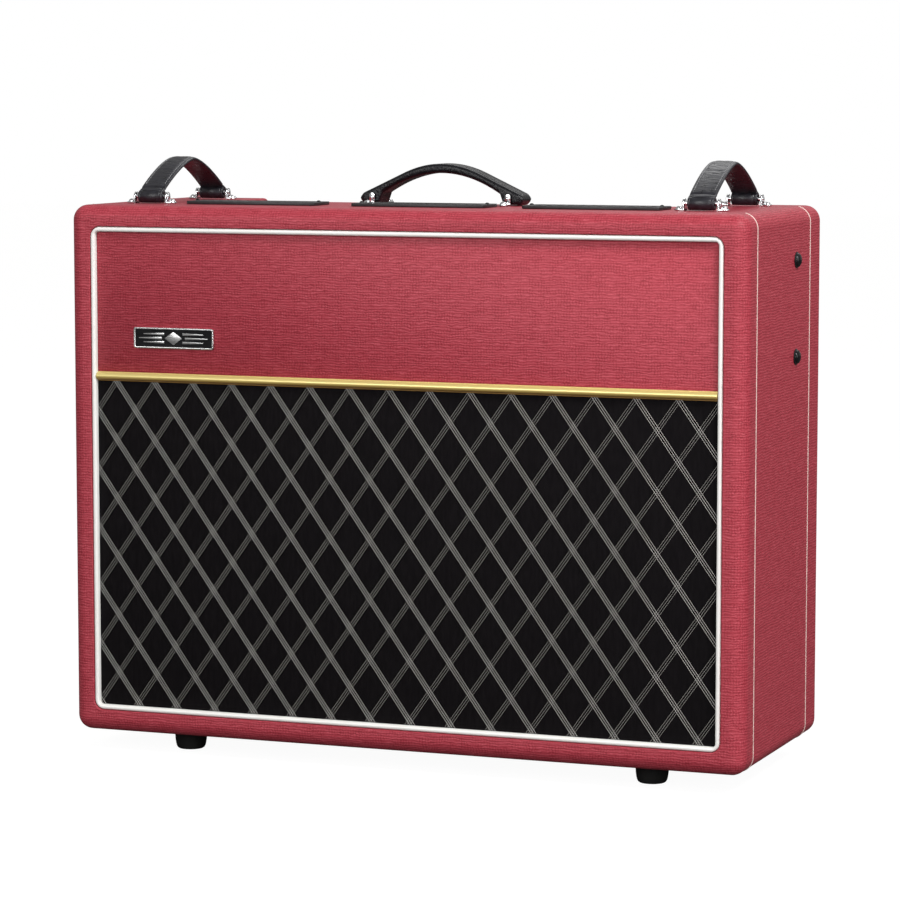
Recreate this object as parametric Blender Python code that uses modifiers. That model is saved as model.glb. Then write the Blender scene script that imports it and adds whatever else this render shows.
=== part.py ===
"""Two-speaker valve guitar combo amplifier, modelled as the pieces it is assembled from.

Metres, +Z up. The origin is on the floor under the middle of the cabinet, the front
looks towards -Y, and +X is to the right of someone facing the front.
"""
import math

import bmesh
import bpy
from mathutils import Matrix, Vector

# ---------------------------------------------------------------- driving dimensions
CAB_WIDTH = 0.702
CAB_DEPTH = 0.265
CAB_HEIGHT = 0.529
FOOT_HEIGHT = 0.020
EDGE_RADIUS = 0.015
GAP = 0.0003                      # clearance between pieces that touch

CAVITY_HALF_X = 0.331             # inside faces of the side walls
BOARD = 0.0195                    # thickness of the top and bottom boards
LIP_DEPTH = 0.0055                # front lip, which the panel and the baffle stop against
OPENING_HALF_X = 0.328
OPENING_BOTTOM = 0.0423
OPENING_TOP = 0.528
OPENING_RADIUS = 0.0105
PIPING_WIDTH = 0.005

STRIP_BOTTOM = 0.3745             # gold bead between the vinyl panel and the cloth
STRIP_HEIGHT = 0.009
PANEL_THICKNESS = 0.012
BADGE_CENTRE_X = -0.23825
BADGE_HALF_X = 0.0434
BADGE_LOW, BADGE_HIGH = 0.4081, 0.4287
BADGE_RIM = 0.0018
CLOTH_THICKNESS = 0.001
BAFFLE_THICKNESS = 0.015
BAFFLE_HOLE_RADIUS = 0.1385

RECESS_HALF_X = 0.250             # control recess in the top board, open to the back
RECESS_FRONT_Y = 0.036             # behind the rear screws of the centre handle
CONTROL_ROW_Y = 0.072
CONTROL_PLATE = 0.0015
TOGGLE_XS = (-0.200, -0.157)
PILOT_X = -0.118
FIRST_KNOB_X = -0.085
KNOB_PITCH = 0.0275
KNOB_NAMES = (
    "knob_normal_volume", "knob_boost_volume", "knob_treble", "knob_bass",
    "knob_reverb_tone", "knob_reverb_level", "knob_tremolo_speed",
    "knob_tremolo_depth", "knob_tone_cut", "knob_master_volume",
)
JACK_XS = (0.190, 0.222)
JACK_DY = 0.016
TOGGLE_TILT = math.radians(12)

VENT_XS = (-0.178, 0.0, 0.178)
VENT_CENTRE_Y = -0.058
VENT_SIZE = (0.140, 0.042)
VENT_THICKNESS = 0.003
VENT_SLOTS = 12
FOOT_X = 0.245
FOOT_Y = 0.081

STRAP_X = 0.288
STRAP_BAR_Y = 0.072
STRAP_WIDTH = 0.027
STRAP_RISE = 0.0455               # crown of the strap above the top board
STRAP_DROP = 0.0309               # from the crown to above the bars
STRAP_THICKNESS = 0.004
BAR_HEIGHT = 0.0073               # handle bars above the top board
BAR_RADIUS = 0.0022
GRIP_BAR_X = 0.072
GRIP_WIDTH = 0.0286
GRIP_RISE = 0.041                 # crown of the centre handle above the top board
GRIP_UNDER = 0.0317               # underside of its crown
GRIP_ARCH_HALF = 0.040            # the arch is curved this far out, then straight
GRIP_SLOPE = 0.466                # fall of the straight shoulders
GRIP_END = (0.080, 0.0064)        # centre of each round end
GRIP_END_RADIUS = 0.006
GRIP_BOTTOM = 0.0012
GRIP_SLOT_X = 0.0731              # middle of the slots that the bars slide in

SPEAKER_X = 0.160
SPEAKER_Z = 0.2085
BOLT_Y = 0.035
BOLT_HEIGHTS = (0.405, 0.499)
BOLT_HOLE_RADIUS = 0.0034
SHELF_BOTTOM = 0.392              # chassis shelf that carries valves and transformers
SHEET = 0.002
BACK_PANEL_THICKNESS = 0.008
BACK_GAP = (0.215, 0.392)         # open stretch between the two back panels
BACK_REBATE = 0.0075              # how far the back panels reach over the cavity's edge
INLET_X = -0.250
INLET_Z = 0.368
REAR_FLANGE_Y = 0.098

# ---------------------------------------------------------------- derived positions
CAB_BOTTOM = FOOT_HEIGHT
CAB_TOP = FOOT_HEIGHT + CAB_HEIGHT
FRONT_Y = -CAB_DEPTH / 2
REAR_Y = CAB_DEPTH / 2
INNER_BOTTOM = CAB_BOTTOM + BOARD
INNER_TOP = CAB_TOP - BOARD
LIP_BACK_Y = FRONT_Y + LIP_DEPTH
PANEL_FRONT_Y = LIP_BACK_Y + GAP
BAFFLE_FRONT_Y = PANEL_FRONT_Y + CLOTH_THICKNESS + 0.0005
SPEAKER_FRONT_Y = BAFFLE_FRONT_Y + BAFFLE_THICKNESS + GAP
BACK_PANEL_Y = 0.1123
CONTROL_TOP = INNER_TOP - 0.0005
FIT_HALF_X = CAVITY_HALF_X - GAP
STRIP_MIDDLE = STRIP_BOTTOM + STRIP_HEIGHT / 2
CUT = 0.01                        # how far a cutter runs past the face that it opens


# ---------------------------------------------------------------- scene and materials
def clear_scene():
    for obj in list(bpy.data.objects):
        bpy.data.objects.remove(obj, do_unlink=True)


def new_collection(name):
    collection = bpy.data.collections.new(name)
    bpy.context.scene.collection.children.link(collection)
    return collection


clear_scene()
PARTS = new_collection("guitar_amplifier")
CUTTERS = new_collection("cutters")


def make_material(name, colour, roughness, metallic=0.0, alpha=1.0):
    material = bpy.data.materials.new(name)
    material.use_nodes = True
    shader = material.node_tree.nodes["Principled BSDF"]
    shader.inputs["Base Color"].default_value = (*colour, 1.0)
    shader.inputs["Roughness"].default_value = roughness
    shader.inputs["Metallic"].default_value = metallic
    shader.inputs["Alpha"].default_value = alpha
    return material


MATERIALS = {
    "red_vinyl": make_material("red_vinyl", (0.38, 0.045, 0.065), 0.45),
    "plywood": make_material("plywood", (0.45, 0.30, 0.17), 0.7),
    "cloth": make_material("cloth", (0.02, 0.018, 0.02), 0.85),
    "white_piping": make_material("white_piping", (0.87, 0.84, 0.78), 0.4),
    "gold_bead": make_material("gold_bead", (0.75, 0.50, 0.16), 0.3, 0.3),
    "badge": make_material("badge", (0.6, 0.6, 0.6), 0.25, 0.8),
    "black_plastic": make_material("black_plastic", (0.015, 0.015, 0.016), 0.4),
    "black_rubber": make_material("black_rubber", (0.02, 0.02, 0.02), 0.8),
    "leather": make_material("leather", (0.02, 0.018, 0.017), 0.35),
    "chrome": make_material("chrome", (0.8, 0.8, 0.8), 0.12, 1.0),
    "panel_black": make_material("panel_black", (0.03, 0.03, 0.035), 0.35),
    "steel": make_material("steel", (0.55, 0.56, 0.57), 0.35, 1.0),
    "black_steel": make_material("black_steel", (0.03, 0.03, 0.03), 0.4, 0.4),
    "cone_paper": make_material("cone_paper", (0.05, 0.045, 0.04), 0.9),
    "magnet_green": make_material("magnet_green", (0.05, 0.14, 0.09), 0.4),
    "glass": make_material("glass", (0.85, 0.88, 0.86), 0.05, 0.0, 0.4),
    "jewel": make_material("jewel", (0.7, 0.03, 0.02), 0.1),
    "lamination": make_material("lamination", (0.06, 0.06, 0.065), 0.45, 0.5),
}


# ---------------------------------------------------------------- modelling helpers
def link(obj, collection):
    collection.objects.link(obj)
    bpy.context.view_layer.update()
    return obj


def evaluated_mesh(obj):
    """The object's mesh after its modifiers, in world space, welded and facing out."""
    depsgraph = bpy.context.evaluated_depsgraph_get()
    mesh = bpy.data.meshes.new_from_object(obj.evaluated_get(depsgraph))
    mesh.transform(obj.matrix_world)
    bm = bmesh.new()
    bm.from_mesh(mesh)
    bmesh.ops.remove_doubles(bm, verts=bm.verts, dist=0.000005)
    bmesh.ops.recalc_face_normals(bm, faces=bm.faces)
    bm.to_mesh(mesh)
    bm.free()
    return mesh


def baked(obj):
    """Turn a working object into a plain mesh and remove the object."""
    mesh = evaluated_mesh(obj)
    bpy.data.objects.remove(obj, do_unlink=True)
    return mesh


def box(low, high):
    low, high = Vector(low), Vector(high)
    bm = bmesh.new()
    bmesh.ops.create_cube(bm, size=1.0)
    size = high - low
    bmesh.ops.scale(bm, vec=size, verts=bm.verts)
    bmesh.ops.translate(bm, vec=(low + high) / 2, verts=bm.verts)
    mesh = bpy.data.meshes.new("box")
    bm.to_mesh(mesh)
    bm.free()
    return mesh


def merged(meshes):
    """Several separate closed meshes as one mesh, for use as one tool."""
    bm = bmesh.new()
    for mesh in meshes:
        bm.from_mesh(mesh)
        bpy.data.meshes.remove(mesh)
    result = bpy.data.meshes.new("merged")
    bm.to_mesh(result)
    bm.free()
    return result


AXIS_TURN = {
    "X": Matrix.Rotation(math.pi / 2, 4, "Y"),
    "-X": Matrix.Rotation(-math.pi / 2, 4, "Y"),
    "-Y": Matrix.Rotation(math.pi / 2, 4, "X"),
    "Z": Matrix.Identity(4),
}


def placed(mesh, centre, axis="Z"):
    """Point a mesh's local +Z along an axis and move its origin to centre."""
    mesh.transform(Matrix.Translation(centre) @ AXIS_TURN[axis])
    return mesh


def cylinder(centre, radius, length, axis="Z", segments=16):
    bm = bmesh.new()
    bmesh.ops.create_cone(bm, cap_ends=True, segments=segments, radius1=radius,
                          radius2=radius, depth=length)
    mesh = bpy.data.meshes.new("cylinder")
    bm.to_mesh(mesh)
    bm.free()
    return placed(mesh, centre, axis)


def turned(profile, centre, axis="Z", steps=16):
    """Lathe a profile of (radius, height) points about its own axis."""
    mesh = bpy.data.meshes.new("profile")
    verts = [(radius, 0.0, height) for radius, height in profile]
    edges = [(i, i + 1) for i in range(len(verts) - 1)]
    mesh.from_pydata(verts, edges, [])
    obj = link(bpy.data.objects.new("profile", mesh), PARTS)
    screw = obj.modifiers.new("screw", "SCREW")
    screw.steps = steps
    screw.render_steps = steps
    screw.use_merge_vertices = True
    screw.merge_threshold = 0.00001
    return placed(baked(obj), centre, axis)


# Outline planes: how an outline's own (x, y) and thickness lie in the world.
PLANE = {
    "XY": Matrix.Identity(4),
    "XZ": Matrix(((1, 0, 0, 0), (0, 0, -1, 0), (0, 1, 0, 0), (0, 0, 0, 1))),
    "YZ": Matrix(((0, 0, 1, 0), (1, 0, 0, 0), (0, 1, 0, 0), (0, 0, 0, 1))),
}


def flat_solid(outlines, plane, low, high):
    """Extrude flat outlines (the first is the outside, others are holes)."""
    curve = bpy.data.curves.new("outline", "CURVE")
    curve.dimensions = "2D"
    curve.fill_mode = "BOTH"
    curve.extrude = (high - low) / 2
    for outline in outlines:
        spline = curve.splines.new("POLY")
        spline.points.add(len(outline) - 1)
        for point, (x, y) in zip(spline.points, outline):
            point.co = (x, y, 0.0, 1.0)
        spline.use_cyclic_u = True
    obj = link(bpy.data.objects.new("outline", curve), PARTS)
    mesh = baked(obj)
    middle = (low + high) / 2
    if plane == "XZ":
        middle = -middle
    mesh.transform(PLANE[plane] @ Matrix.Translation((0, 0, middle)))
    return mesh


def rounded_rectangle(half_x, low, high, radius, corner_steps=4):
    points = []
    corners = ((half_x, high, 0), (-half_x, high, 90), (-half_x, low, 180), (half_x, low, 270))
    for x, y, start in corners:
        centre_x = x - math.copysign(radius, x)
        centre_y = y - radius if y == high else y + radius
        for step in range(corner_steps + 1):
            angle = math.radians(start + 90 * step / corner_steps)
            points.append((centre_x + radius * math.cos(angle),
                           centre_y + radius * math.sin(angle)))
    return points


def part(name, mesh, material, origin=(0.0, 0.0, 0.0), smooth=True):
    """Add a finished piece, with its mesh given in world space."""
    mesh.name = name
    mesh.transform(Matrix.Translation(-Vector(origin)))
    mesh.materials.clear()
    mesh.materials.append(MATERIALS[material])
    if smooth:
        mesh.shade_smooth()
        mesh.set_sharp_from_angle(angle=math.radians(35))
    obj = bpy.data.objects.new(name, mesh)
    obj.location = origin
    return link(obj, PARTS)


def use_tool(obj, mesh, operation):
    tool = link(bpy.data.objects.new(obj.name + "_tool", mesh), CUTTERS)
    tool.hide_render = True
    tool.display_type = "WIRE"
    boolean = obj.modifiers.new(operation.lower(), "BOOLEAN")
    boolean.operation = operation
    boolean.solver = "EXACT"
    boolean.object = tool


def cut(obj, *meshes):
    for mesh in meshes:
        use_tool(obj, mesh, "DIFFERENCE")


def join(obj, *meshes):
    for mesh in meshes:
        use_tool(obj, mesh, "UNION")


def bevel(obj, width, segments, angle=30):
    modifier = obj.modifiers.new("bevel", "BEVEL")
    modifier.width = width
    modifier.segments = segments
    modifier.limit_method = "ANGLE"
    modifier.angle_limit = math.radians(angle)


# ---------------------------------------------------------------- cabinet
def bolt_holes(half_from, half_to):
    """Clearance holes for the chassis bolts on both sides."""
    holes = []
    for side in (-1, 1):
        for height in BOLT_HEIGHTS:
            centre = (side * (half_from + half_to) / 2, BOLT_Y, height)
            holes.append(cylinder(centre, BOLT_HOLE_RADIUS, half_to - half_from, "X", 12))
    return merged(holes)


def make_cabinet_shell():
    half = CAB_WIDTH / 2
    shell = part("cabinet_shell", box((-half, FRONT_Y, CAB_BOTTOM), (half, REAR_Y, CAB_TOP)),
                 "red_vinyl")
    bevel(shell, EDGE_RADIUS, 4)
    front_opening = flat_solid(
        [rounded_rectangle(OPENING_HALF_X, OPENING_BOTTOM, OPENING_TOP, OPENING_RADIUS)],
        "XZ", FRONT_Y - CUT, LIP_BACK_Y + 0.001)
    cavity = box((-CAVITY_HALF_X, LIP_BACK_Y, INNER_BOTTOM),
                 (CAVITY_HALF_X, BACK_PANEL_Y, INNER_TOP))
    back_half = CAVITY_HALF_X + BACK_REBATE
    back_opening = box((-back_half, BACK_PANEL_Y - GAP, INNER_BOTTOM - BACK_REBATE),
                       (back_half, REAR_Y + CUT, INNER_TOP))
    recess = box((-RECESS_HALF_X, RECESS_FRONT_Y, INNER_TOP - CUT),
                 (RECESS_HALF_X, REAR_Y + CUT, CAB_TOP + CUT))
    vent_half_x = VENT_SIZE[0] / 2 - 0.006
    vent_half_y = VENT_SIZE[1] / 2 - 0.005
    vent_holes = merged([
        box((x - vent_half_x, VENT_CENTRE_Y - vent_half_y, INNER_TOP - CUT),
            (x + vent_half_x, VENT_CENTRE_Y + vent_half_y, CAB_TOP + CUT))
        for x in VENT_XS])
    cut(shell, front_opening, cavity, back_opening, recess, vent_holes,
        bolt_holes(CAVITY_HALF_X - CUT, half + CUT))


def make_front():
    top = INNER_TOP - GAP
    bottom = INNER_BOTTOM + GAP
    part("front_panel",
         box((-FIT_HALF_X, PANEL_FRONT_Y, STRIP_MIDDLE + GAP),
             (FIT_HALF_X, PANEL_FRONT_Y + PANEL_THICKNESS, top)), "red_vinyl")
    part("grille_cloth",
         box((-FIT_HALF_X, PANEL_FRONT_Y, bottom),
             (FIT_HALF_X, PANEL_FRONT_Y + CLOTH_THICKNESS, STRIP_MIDDLE - GAP)), "cloth")
    baffle = part("speaker_baffle",
                  box((-FIT_HALF_X, BAFFLE_FRONT_Y, bottom),
                      (FIT_HALF_X, BAFFLE_FRONT_Y + BAFFLE_THICKNESS, STRIP_MIDDLE - GAP)),
                  "plywood")
    middle_y = BAFFLE_FRONT_Y + BAFFLE_THICKNESS / 2
    cut(baffle, merged([cylinder((x, middle_y, SPEAKER_Z), BAFFLE_HOLE_RADIUS, 0.05, "-Y", 36)
                        for x in (-SPEAKER_X, SPEAKER_X)]))


def make_front_trim():
    outer_half = OPENING_HALF_X - GAP
    inner_half = outer_half - PIPING_WIDTH
    outer = rounded_rectangle(outer_half, OPENING_BOTTOM + GAP, OPENING_TOP - GAP,
                              OPENING_RADIUS - GAP)
    inner = rounded_rectangle(inner_half, OPENING_BOTTOM + GAP + PIPING_WIDTH,
                              OPENING_TOP - GAP - PIPING_WIDTH, 0.004, 2)
    piping = part("front_piping", flat_solid([outer, inner], "XZ", FRONT_Y + 0.0004, LIP_BACK_Y),
                  "white_piping")
    bevel(piping, 0.0014, 2, 60)

    strip_back = LIP_BACK_Y
    half_height = STRIP_HEIGHT / 2
    section = [(strip_back, STRIP_BOTTOM), (strip_back, STRIP_BOTTOM + STRIP_HEIGHT)]
    for step in range(9):
        angle = math.radians(90 + 180 * step / 8)
        section.append((strip_back - 0.0008 + 0.0042 * math.cos(angle),
                        STRIP_MIDDLE + half_height * math.sin(angle)))
    strip_half = inner_half - GAP
    part("gold_strip", flat_solid([section], "YZ", -strip_half, strip_half), "gold_bead")

    outline = [(x + BADGE_CENTRE_X, z) for x, z in
               rounded_rectangle(BADGE_HALF_X, BADGE_LOW, BADGE_HIGH, 0.0022, 3)]
    badge_front = LIP_BACK_Y - 0.0027
    badge = part("badge_plate", flat_solid([outline], "XZ", badge_front, LIP_BACK_Y), "badge")
    field_half = BADGE_HALF_X - BADGE_RIM
    cut(badge, box((BADGE_CENTRE_X - field_half, badge_front - CUT, BADGE_LOW + BADGE_RIM),
                   (BADGE_CENTRE_X + field_half, badge_front + 0.0008, BADGE_HIGH - BADGE_RIM)))


def make_vents():
    half_x, half_y = VENT_SIZE[0] / 2, VENT_SIZE[1] / 2
    end_margin, side_margin, slot_half = 0.008, 0.006, 0.0032
    pitch = 2 * (half_x - end_margin) / VENT_SLOTS
    base = CAB_TOP + GAP
    for name, x in zip(("vent_left", "vent_centre", "vent_right"), VENT_XS):
        outline = [(px + x, py) for px, py in
                   rounded_rectangle(half_x, VENT_CENTRE_Y - half_y, VENT_CENTRE_Y + half_y,
                                     0.004, 2)]
        vent = part(name, flat_solid([outline], "XY", base, base + VENT_THICKNESS),
                    "black_plastic")
        slots = []
        for index in range(VENT_SLOTS):
            middle = x + (index - (VENT_SLOTS - 1) / 2) * pitch
            front = VENT_CENTRE_Y - half_y + side_margin
            rear = VENT_CENTRE_Y + half_y - side_margin
            slots.append(box((middle - slot_half, front, CAB_TOP - CUT),
                             (middle + slot_half, rear, CAB_TOP + CUT)))
        cut(vent, merged(slots))


def make_feet():
    top = FOOT_HEIGHT - GAP
    profile = [(0.0, top), (0.0165, top), (0.0158, 0.009), (0.0146, 0.0032),
               (0.0122, 0.0), (0.0055, 0.0), (0.0055, 0.005), (0.0, 0.005)]
    for name, x, y in (("foot_front_left", -1, -1), ("foot_front_right", 1, -1),
                       ("foot_rear_left", -1, 1), ("foot_rear_right", 1, 1)):
        part(name, turned(profile, (x * FOOT_X, y * FOOT_Y, 0.0)), "black_rubber")


# ---------------------------------------------------------------- handles
def bracket_mesh(centre_x, centre_y, along, ear_inner, foot_end, half_width):
    """Two bent feet with upright ears, and the bar between them, as one piece.

    along is the direction of the bar: "X" or "Y".
    """
    base = CAB_TOP + GAP
    metal = 0.0018
    ear_top = CAB_TOP + BAR_HEIGHT + 0.0045
    plane = "XZ" if along == "X" else "YZ"
    along_centre = centre_x if along == "X" else centre_y
    cross_centre = centre_y if along == "X" else centre_x
    pieces = []
    for side in (-1, 1):
        outline = [(foot_end, base), (foot_end, base + metal), (ear_inner + metal, base + metal),
                   (ear_inner + metal, ear_top), (ear_inner, ear_top), (ear_inner, base)]
        outline = [(along_centre + side * a, z) for a, z in outline]
        pieces.append(flat_solid([outline], plane, cross_centre - half_width,
                                 cross_centre + half_width))
    bar_axis = "X" if along == "X" else "-Y"
    bar = cylinder((centre_x, centre_y, CAB_TOP + BAR_HEIGHT), BAR_RADIUS,
                   2 * ear_inner + metal, bar_axis, 12)
    work = part("bracket_work", pieces[0], "chrome")
    join(work, bar, pieces[1])
    mesh = baked(work)
    for tool in list(CUTTERS.objects):
        if tool.name.startswith("bracket_work"):
            bpy.data.objects.remove(tool, do_unlink=True)
    return mesh


def strap_centreline(steps=24):
    """Points (y, z) of the strap's mid-thickness, which meets each loop at a tangent."""
    crown = CAB_TOP + STRAP_RISE - STRAP_THICKNESS / 2
    reach = 1.03                  # the end of the band, in shares of the bars' distance
    points = []
    for step in range(steps + 1):
        t = reach * (-1 + 2 * step / steps)
        points.append((STRAP_BAR_Y * t, crown - STRAP_DROP * abs(t) ** 1.5))
    return points


def offset_line(points, distance):
    shifted = []
    for index, (y, z) in enumerate(points):
        before = points[max(index - 1, 0)]
        after = points[min(index + 1, len(points) - 1)]
        dy, dz = after[0] - before[0], after[1] - before[1]
        length = math.hypot(dy, dz)
        shifted.append((y - dz / length * distance, z + dy / length * distance))
    return shifted


def make_strap(name, x):
    half_thickness = STRAP_THICKNESS / 2
    line = strap_centreline()
    band = offset_line(line, half_thickness) + offset_line(line, -half_thickness)[::-1]
    low, high = x - STRAP_WIDTH / 2, x + STRAP_WIDTH / 2
    strap = part(name, flat_solid([band], "YZ", low, high), "leather")
    loops, holes = [], []
    for side in (-1, 1):
        centre = (x, side * STRAP_BAR_Y, CAB_TOP + BAR_HEIGHT)
        loops.append(cylinder(centre, 0.0064, STRAP_WIDTH, "X", 20))
        holes.append(cylinder(centre, 0.0029, STRAP_WIDTH + CUT, "X", 12))
    join(strap, merged(loops))
    cut(strap, merged(holes))


def make_straps():
    ear_inner = STRAP_WIDTH / 2 + 0.0028
    for side_name, side in (("left", -1), ("right", 1)):
        x = side * STRAP_X
        make_strap("strap_" + side_name, x)
        for end_name, end in (("front", -1), ("rear", 1)):
            name = "strap_bracket_{}_{}".format(side_name, end_name)
            saddle = bracket_mesh(x, end * STRAP_BAR_Y, "X", ear_inner, 0.027, 0.0052)
            part(name, saddle, "chrome")


def grip_side():
    """Right half of the centre handle's side view (x, z), from crown to crown's underside."""
    curve = GRIP_SLOPE / (2 * GRIP_ARCH_HALF)
    steps = 8
    half = []
    for step in range(steps + 1):
        x = GRIP_ARCH_HALF * step / steps
        half.append((x, GRIP_RISE - curve * x * x))
    shoulder = 90 - math.degrees(math.atan(GRIP_SLOPE))
    lowest = -math.degrees(math.asin((GRIP_END[1] - GRIP_BOTTOM) / GRIP_END_RADIUS))
    for step in range(7):
        angle = math.radians(shoulder + (lowest - shoulder) * step / 6)
        half.append((GRIP_END[0] + GRIP_END_RADIUS * math.cos(angle),
                     GRIP_END[1] + GRIP_END_RADIUS * math.sin(angle)))
    inner_x = 0.0625
    half.append((inner_x + 0.0035, GRIP_BOTTOM))
    for step in range(steps):
        x = inner_x * (1 - step / steps)
        half.append((x, GRIP_UNDER - 5.22 * x * x))
    half.append((0.0, GRIP_UNDER))
    return half


def make_centre_handle():
    half_width = GRIP_WIDTH / 2
    side = grip_side()
    outline = side + [(-x, z) for x, z in side[-2:0:-1]]
    outline = [(x, CAB_TOP + z) for x, z in outline]
    grip = part("centre_handle", flat_solid([outline], "XZ", -half_width, half_width),
                "leather", origin=(0.0, 0.0, CAB_TOP + GRIP_RISE / 2))
    bevel(grip, 0.0030, 2, 50)
    slots = []
    slot_half_length, slot_radius = 0.0033, 0.0026
    for sign in (-1, 1):
        slot = []
        for start, centre in ((-90, slot_half_length), (90, -slot_half_length)):
            for step in range(7):
                angle = math.radians(start + 180 * step / 6)
                slot.append((sign * GRIP_SLOT_X + centre + slot_radius * math.cos(angle),
                             CAB_TOP + BAR_HEIGHT + slot_radius * math.sin(angle)))
        slots.append(flat_solid([slot], "XZ", -half_width - CUT, half_width + CUT))
    cut(grip, merged(slots))
    ear_inner = half_width + 0.0013
    for side_name, sign in (("left", -1), ("right", 1)):
        saddle = bracket_mesh(sign * GRIP_BAR_X, 0.0, "Y", ear_inner, 0.034, 0.0029)
        part("handle_bracket_" + side_name, saddle, "chrome")


# ---------------------------------------------------------------- controls
def knob_xs():
    return [FIRST_KNOB_X + KNOB_PITCH * index for index in range(len(KNOB_NAMES))]


def make_control_panel():
    """Inverted channel: its top face is the control panel, hung under the top board."""
    front, rear = 0.0185, BACK_PANEL_Y - 0.0008
    low = CONTROL_TOP - 0.028
    section = [(front, low), (front, CONTROL_TOP), (rear, CONTROL_TOP), (rear, low),
               (rear - CONTROL_PLATE, low), (rear - CONTROL_PLATE, CONTROL_TOP - CONTROL_PLATE),
               (front + CONTROL_PLATE, CONTROL_TOP - CONTROL_PLATE), (front + CONTROL_PLATE, low)]
    half_length = CAVITY_HALF_X - 0.0028
    panel = part("control_panel", flat_solid([section], "YZ", -half_length, half_length),
                 "panel_black")
    holes = [cylinder((x, CONTROL_ROW_Y, CONTROL_TOP), 0.0033, CUT, "Z", 10) for x in knob_xs()]
    holes += [cylinder((x, CONTROL_ROW_Y, CONTROL_TOP), 0.0048, CUT, "Z", 12)
              for x in TOGGLE_XS + (PILOT_X,)]
    holes += [cylinder((x, y, CONTROL_TOP), 0.0049, CUT, "Z", 12) for x, y in jack_places()]
    cut(panel, merged(holes))


def make_knobs():
    """Pointer knobs, each on a shaft that turns in the control panel."""
    body_radius, tip_reach, height = 0.0082, 0.0126, 0.0150
    base = CONTROL_TOP + 0.0008
    outline = [(0.0, tip_reach)]
    for step in range(11):
        angle = math.radians(125 + 290 * step / 10)
        outline.append((body_radius * math.cos(angle), body_radius * math.sin(angle)))
    work = part("knob_work", flat_solid([outline], "XY", 0.0, height), "black_plastic")
    join(work, cylinder((0.0, 0.0, -0.006), 0.0030, 0.020, "Z", 10))
    pattern = baked(work)
    for name, x in zip(KNOB_NAMES, knob_xs()):
        origin = (x, CONTROL_ROW_Y, base)
        part(name, placed(pattern.copy(), origin), "black_plastic", origin=origin)
    for tool in list(CUTTERS.objects):
        if tool.name.startswith("knob_work"):
            bpy.data.objects.remove(tool, do_unlink=True)


def make_toggles():
    """Bat levers, at rest leaning towards the front, pivoting just above the panel."""
    pivot_z = CONTROL_TOP + 0.0015
    profile = [(0.0, 0.0182), (0.0020, 0.0176), (0.0028, 0.0152), (0.0016, 0.0030),
               (0.0030, 0.0012), (0.0030, -0.0012), (0.0014, -0.0030), (0.0014, -0.0060),
               (0.0, -0.0060)]
    for name, x in zip(("power_toggle", "standby_toggle"), TOGGLE_XS):
        origin = Vector((x, CONTROL_ROW_Y, pivot_z))
        lever = turned(profile, (0.0, 0.0, 0.0), "Z", 12)
        lever.transform(Matrix.Translation(origin) @ Matrix.Rotation(TOGGLE_TILT, 4, "X"))
        part(name, lever, "chrome", origin=origin)


def make_pilot_lamp():
    profile = [(0.0, 0.0085), (0.0030, 0.0078), (0.0052, 0.0048), (0.0056, 0.0022),
               (0.0070, 0.0018), (0.0070, 0.0003), (0.0045, 0.0003), (0.0045, -0.0150),
               (0.0, -0.0150)]
    part("pilot_lamp", turned(profile, (PILOT_X, CONTROL_ROW_Y, CONTROL_TOP)), "jewel")


def jack_places():
    return [(x, CONTROL_ROW_Y + side * JACK_DY) for x in JACK_XS for side in (-1, 1)]


def make_input_jacks():
    """Four jack sockets on one small board under the panel."""
    board_top = CONTROL_TOP - 0.0200
    middle_x = sum(JACK_XS) / 2
    half_x = (JACK_XS[1] - JACK_XS[0]) / 2 + 0.010
    half_y = JACK_DY + 0.010
    board = part("input_jacks",
                 box((middle_x - half_x, CONTROL_ROW_Y - half_y, board_top - 0.0016),
                     (middle_x + half_x, CONTROL_ROW_Y + half_y, board_top)), "black_plastic")
    nose_top, shoulder = 0.0040, -0.0020
    bore_bottom, foot = -0.0190, -0.0205
    profile = [(0.0, bore_bottom), (0.0033, bore_bottom), (0.0033, nose_top),
               (0.0046, nose_top), (0.0046, shoulder), (0.0070, shoulder), (0.0070, foot),
               (0.0, foot)]
    join(board, merged([turned(profile, (x, y, CONTROL_TOP), "Z", 12)
                        for x, y in jack_places()]))


# ---------------------------------------------------------------- speakers
def make_speakers():
    """Twelve-inch units: pressed basket with magnet, and the cone that moves in it."""
    frame_profile = [
        (0.0, -0.060), (0.0200, -0.060), (0.0200, -0.100), (0.0245, -0.100),
        (0.0245, -0.073), (0.0760, -0.073), (0.1420, -0.012), (0.1420, 0.0),
        (0.1535, 0.0), (0.1535, -0.0025), (0.1450, -0.0025), (0.1450, -0.0135),
        (0.0785, -0.0765), (0.0700, -0.0765), (0.0700, -0.111), (0.0670, -0.114),
        (0.0, -0.114)]
    cone_profile = [
        (0.0, -0.036), (0.018, -0.0395), (0.032, -0.0465), (0.1330, -0.0045),
        (0.1368, -0.0020), (0.1405, -0.0045), (0.1405, -0.0060), (0.1330, -0.0064),
        (0.0335, -0.0482), (0.0235, -0.0515), (0.0235, -0.0830), (0.0215, -0.0830),
        (0.0215, -0.0500), (0.0, -0.0500)]
    arm, reach = 0.045, 0.20
    cross = [(arm, arm), (reach, arm), (reach, -arm), (arm, -arm), (arm, -reach),
             (-arm, -reach), (-arm, -arm), (-reach, -arm), (-reach, arm), (-arm, arm),
             (-arm, reach), (arm, reach)]
    for side_name, side in (("left", -1), ("right", 1)):
        centre = (side * SPEAKER_X, SPEAKER_FRONT_Y, SPEAKER_Z)
        frame = part("speaker_frame_" + side_name, turned(frame_profile, centre, "-Y", 28),
                     "magnet_green")
        windows = placed(flat_solid([cross], "XY", -0.0715, -0.020), centre, "-Y")
        cut(frame, windows)
        part("speaker_cone_" + side_name, turned(cone_profile, centre, "-Y", 28),
             "cone_paper", origin=centre)


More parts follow.
